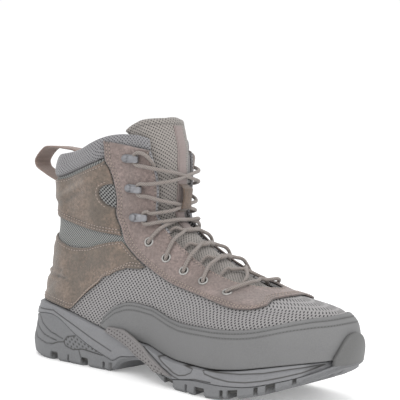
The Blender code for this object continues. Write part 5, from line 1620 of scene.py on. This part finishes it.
def makeOutsole():
    # rings from tread to seam moved in by lines, dots and notches, with the cut tread as bottom
    x = soleStations(430)
    base = soleRing(x, 0.0)
    low = tread(base[:, 0])
    high = seam(base[:, 0])
    shares = np.concatenate([[0, 0.02, 0.05], np.linspace(0.09, 0.97, 38), [0.985, 1.0]])
    deep = treadDepth(base[:, 0], base[:, 1])
    inCut = soft(0.5 * mm, 3.5 * mm, deep)
    rings, paintedShadings = [], []
    for share in shares:
        bottom = low + deep * (1 - share)
        z = bottom + (high - bottom) * share
        above = z - low
        edge = sole["edge"] * (1 - soft(0, 1, np.clip(above / (3 * mm), 0, 1)))
        xMm, zMm = base[:, 0] / mm, z / mm
        cut = lineRelief(xMm, zMm, rubberSide["lines"], 0.55, 0.9)
        area = insideOf(xMm, zMm, list(rubberSide["dots"]))
        pitch = rubberSide["dotPitch"]
        row = np.round((zMm + 0.35 * xMm) / (pitch * 0.75))
        dotX = (xMm / pitch + 0.5 * (row % 2)) % 1 - 0.5
        dotZ = (zMm + 0.35 * xMm) / (pitch * 0.75) - row
        dots = area * hump(np.hypot(dotX * pitch, dotZ * pitch * 0.75), rubberSide["dotSize"])
        cut = np.maximum(cut, 1.0 * dots)
        fin = soft(2.0, 8.0, zMm - 13) * soft(0, 6, 50 - xMm) * soft(0, 4, high / mm - zMm) * 0.9
        notch = inCut * (1 - soft(6.4 * mm, 7.6 * mm, above)) * 2.4
        upper = 2 * 0.3 * mm * soft(0.97, 1.0, share)
        inset = edge + (cut + fin + notch) * mm + upper
        inset = inset + heelTaper(xMm, zMm) * mm
        ring = soleRing(x, inset)
        rings.append(np.column_stack([ring, z]))
        # painted shade in the side lines, dots and notches
        paintedShadings.append(-0.95 * np.clip(cut, 0, 1) - 0.85 * inCut * (1 - soft(6.4 * mm, 7.6 * mm, above)))
    rings = np.array(rings)
    across = np.linspace(0, 1, 122)[None]
    first = rings[0]
    half = len(x) - 1
    lateral = first[:half + 1]
    medial = np.concatenate([first[:1], first[:half - 1:-1]])
    flatX = lateral[:, None, 0] + (medial[:, None, 0] - lateral[:, None, 0]) * across
    flatY = lateral[:, None, 1] + (medial[:, None, 1] - lateral[:, None, 1]) * across
    cut = treadDepth(flatX, flatY)
    bottom = np.stack([flatX, flatY, tread(flatX) + cut], -1)
    # painted shade in the tread cuts
    paintedShading = -0.55 * soft(0.6 * mm, 3.5 * mm, cut)
    paintedShadings = np.array(paintedShadings)
    stackPiece("outsoleRubber", rings, "rubber", paintedShadings, bottom, paintedShading, replaces=("outsole",), slot="outsole")


def makeMidsole():
    # rings from seam to feather moved in by lines, sunk areas, swell and rim
    x = soleStations(430)
    room = (3 + 1.2 + 0.6) * mm * soft(0.92, 0.96, soleRing(x, 0.0)[:, 0] / last["length"])
    base = soleRing(x, room)
    low = seam(base[:, 0]) + 0.3 * mm
    high = feather(base[:, 0])
    shares = np.concatenate([[0, 0.03], np.linspace(0.07, 0.93, 34), [0.97, 1.0]])
    rings, paintedShadings = [], []
    for share in shares:
        z = low + (high - low) * share
        xMm, zMm = base[:, 0] / mm, z / mm
        cut = lineRelief(xMm, zMm, foamSide["lines"], 0.6, 0.8)
        # painted shade in the lines and along the outlines of the sunk areas
        paintedShading = -0.95 * np.clip(cut, 0, 1)
        for corners, deep in foamSide["areas"]:
            outline = lineDistance(xMm, zMm, list(corners) + [corners[0]])
            signed = np.where(insideOf(xMm, zMm, list(corners)), -outline, outline)
            cut = cut + deep * (1 - soft(-1.6, 0.3, signed))
            paintedShading = paintedShading - 0.95 * hump(signed, 0.55)
        swell = -0.5 * soft(0.0, 0.3, share) * (1 - soft(0.40, 0.62, share)) + 0.8 * soft(0.5, 0.56, share)
        rimCurve = 1.6 * (1 - np.sqrt(1 - np.clip((share - 0.9) / 0.1, 0, 1) ** 2))
        footCurve = 0.7 * (1 - np.sqrt(1 - np.clip((0.06 - share) / 0.06, 0, 1) ** 2))
        ring = soleRing(x, room + (cut + swell * 0.5 + rimCurve + footCurve + heelTaper(xMm, zMm)) * mm)
        rings.append(np.column_stack([ring, z]))
        # plus painted shade near the top, where the foam meets the upper
        paintedShadings.append(paintedShading - 0.25 * hump(share - 0.98, 0.02))
    stackPiece("midsoleFoam", np.array(rings), "foam", np.array(paintedShadings), replaces=("midsole",), slot="midsole")


def makeArchFrames():
    # a ruled band between two curves on the sole's side, with rows of dents
    rows = ((0.318, 0.690, 0.331, 0.785), (0.357, 0.600, 0.374, 0.785), (0.400, 0.505, 0.416, 0.710),
            (0.440, 0.385, 0.459, 0.600), (0.485, 0.305, 0.499, 0.450), (0.518, 0.215, 0.580, 0.215))
    s = np.linspace(0, 1, 200)[None]
    t = np.linspace(0, 1, 52)[:, None]
    lowX, lowZ, highX, highZ = (spread(rows, k, s) for k in range(4))
    x = (lowX + (highX - lowX) * t) * last["length"]
    z = (lowZ + (highZ - lowZ) * t) * last["stack"]
    run = s * 82
    wide = np.hypot((highX - lowX) * last["length"], (highZ - lowZ) * last["stack"]) / mm
    row = np.round(t * wide / 3.0 - 0.5)
    dotX = ((run / 4.2 + 0.5 * (row % 2)) % 1 - 0.5) * 4.2
    dots = hump(np.hypot(dotX, (t * wide / 3.0 - 0.5 - row) * 3.0), 0.75)
    edge = np.minimum(np.minimum(t, 1 - t) * wide, np.minimum(run, 82 - run))
    dots = dots * soft(1.2, 2.0, edge)
    rounding = roundEdge(edge, 1.2)
    for word, side in (("lateral", -1), ("medial", 1)):
        slope = (soleHalf(x + 0.5 * mm, side) - soleHalf(x - 0.5 * mm, side)) / (1 * mm)
        length = np.sqrt(1 + slope ** 2)

        def wallAt(out):
            # points on the sole's side moved out along its plan normal
            return np.stack([x - slope / length * out, side * (soleHalf(x, side) + out / length), z], -1)
        face = wallAt((0.9 + 1.7 * rounding - 0.9 * dots) * mm)
        # painted shade in the dents and along a line just inside the edge
        shellPiece(f"archFrame_{word}", face, wallAt(0.5 * mm + 0 * x),
                   "frame", paintedShading=-1.0 * dots - 0.4 * hump(edge - 1.6, 0.3), replaces=(f"arch_frame_{word}",),
                   slot="arch_frame")


def makeBumper():
    # rubber guard that climbs the toe in a rounded point
    across = np.linspace(-1, 1, 90)[None]
    t = np.linspace(0, 1, 44)[:, None]
    foot = float(seam(last["length"])) - 3 * mm
    top = float(feather(last["length"])) + 17 * mm * (1 - np.abs(across) ** 2.6)
    height = foot + (top - foot) * t
    half = 20 * mm * np.maximum(np.abs(across), 1e-3) + 0 * t
    angle = angleAtHalf(height, half)
    angle = np.where(across < 0, angle, 2 * np.pi - angle)
    edge = np.minimum((1 - t) * (top - foot), (1 - np.abs(across)) * 20 * mm)
    rounding = roundEdge(edge, 2.2 * mm)
    swell = 0.6 * mm * hump(across, 0.55) * hump(t - 0.55, 0.5)
    start = 3.0 * mm
    # painted shade along the bumper's edge
    shellPiece("toeBumper", skin(height, angle, start + 0.4 * mm + 2.6 * mm * rounding + swell),
               skin(height, angle, start), "bumper", slot="outsole", paintedShading=-0.3 * hump(edge, 0.6 * mm))


makeOutsole()
makeMidsole()
makeArchFrames()
makeBumper()
print("sole")

# the insole stays as it was packed and gets its cloth
nodes["insole"].data.materials.clear()
nodes["insole"].data.materials.append(finishes["lining"])

shown = [list(corner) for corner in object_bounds()]
for word, corners in (("CAD box", cadBox), ("visual box", shown)):
    print(word, [[round(v, 4) for v in corner] for corner in corners])
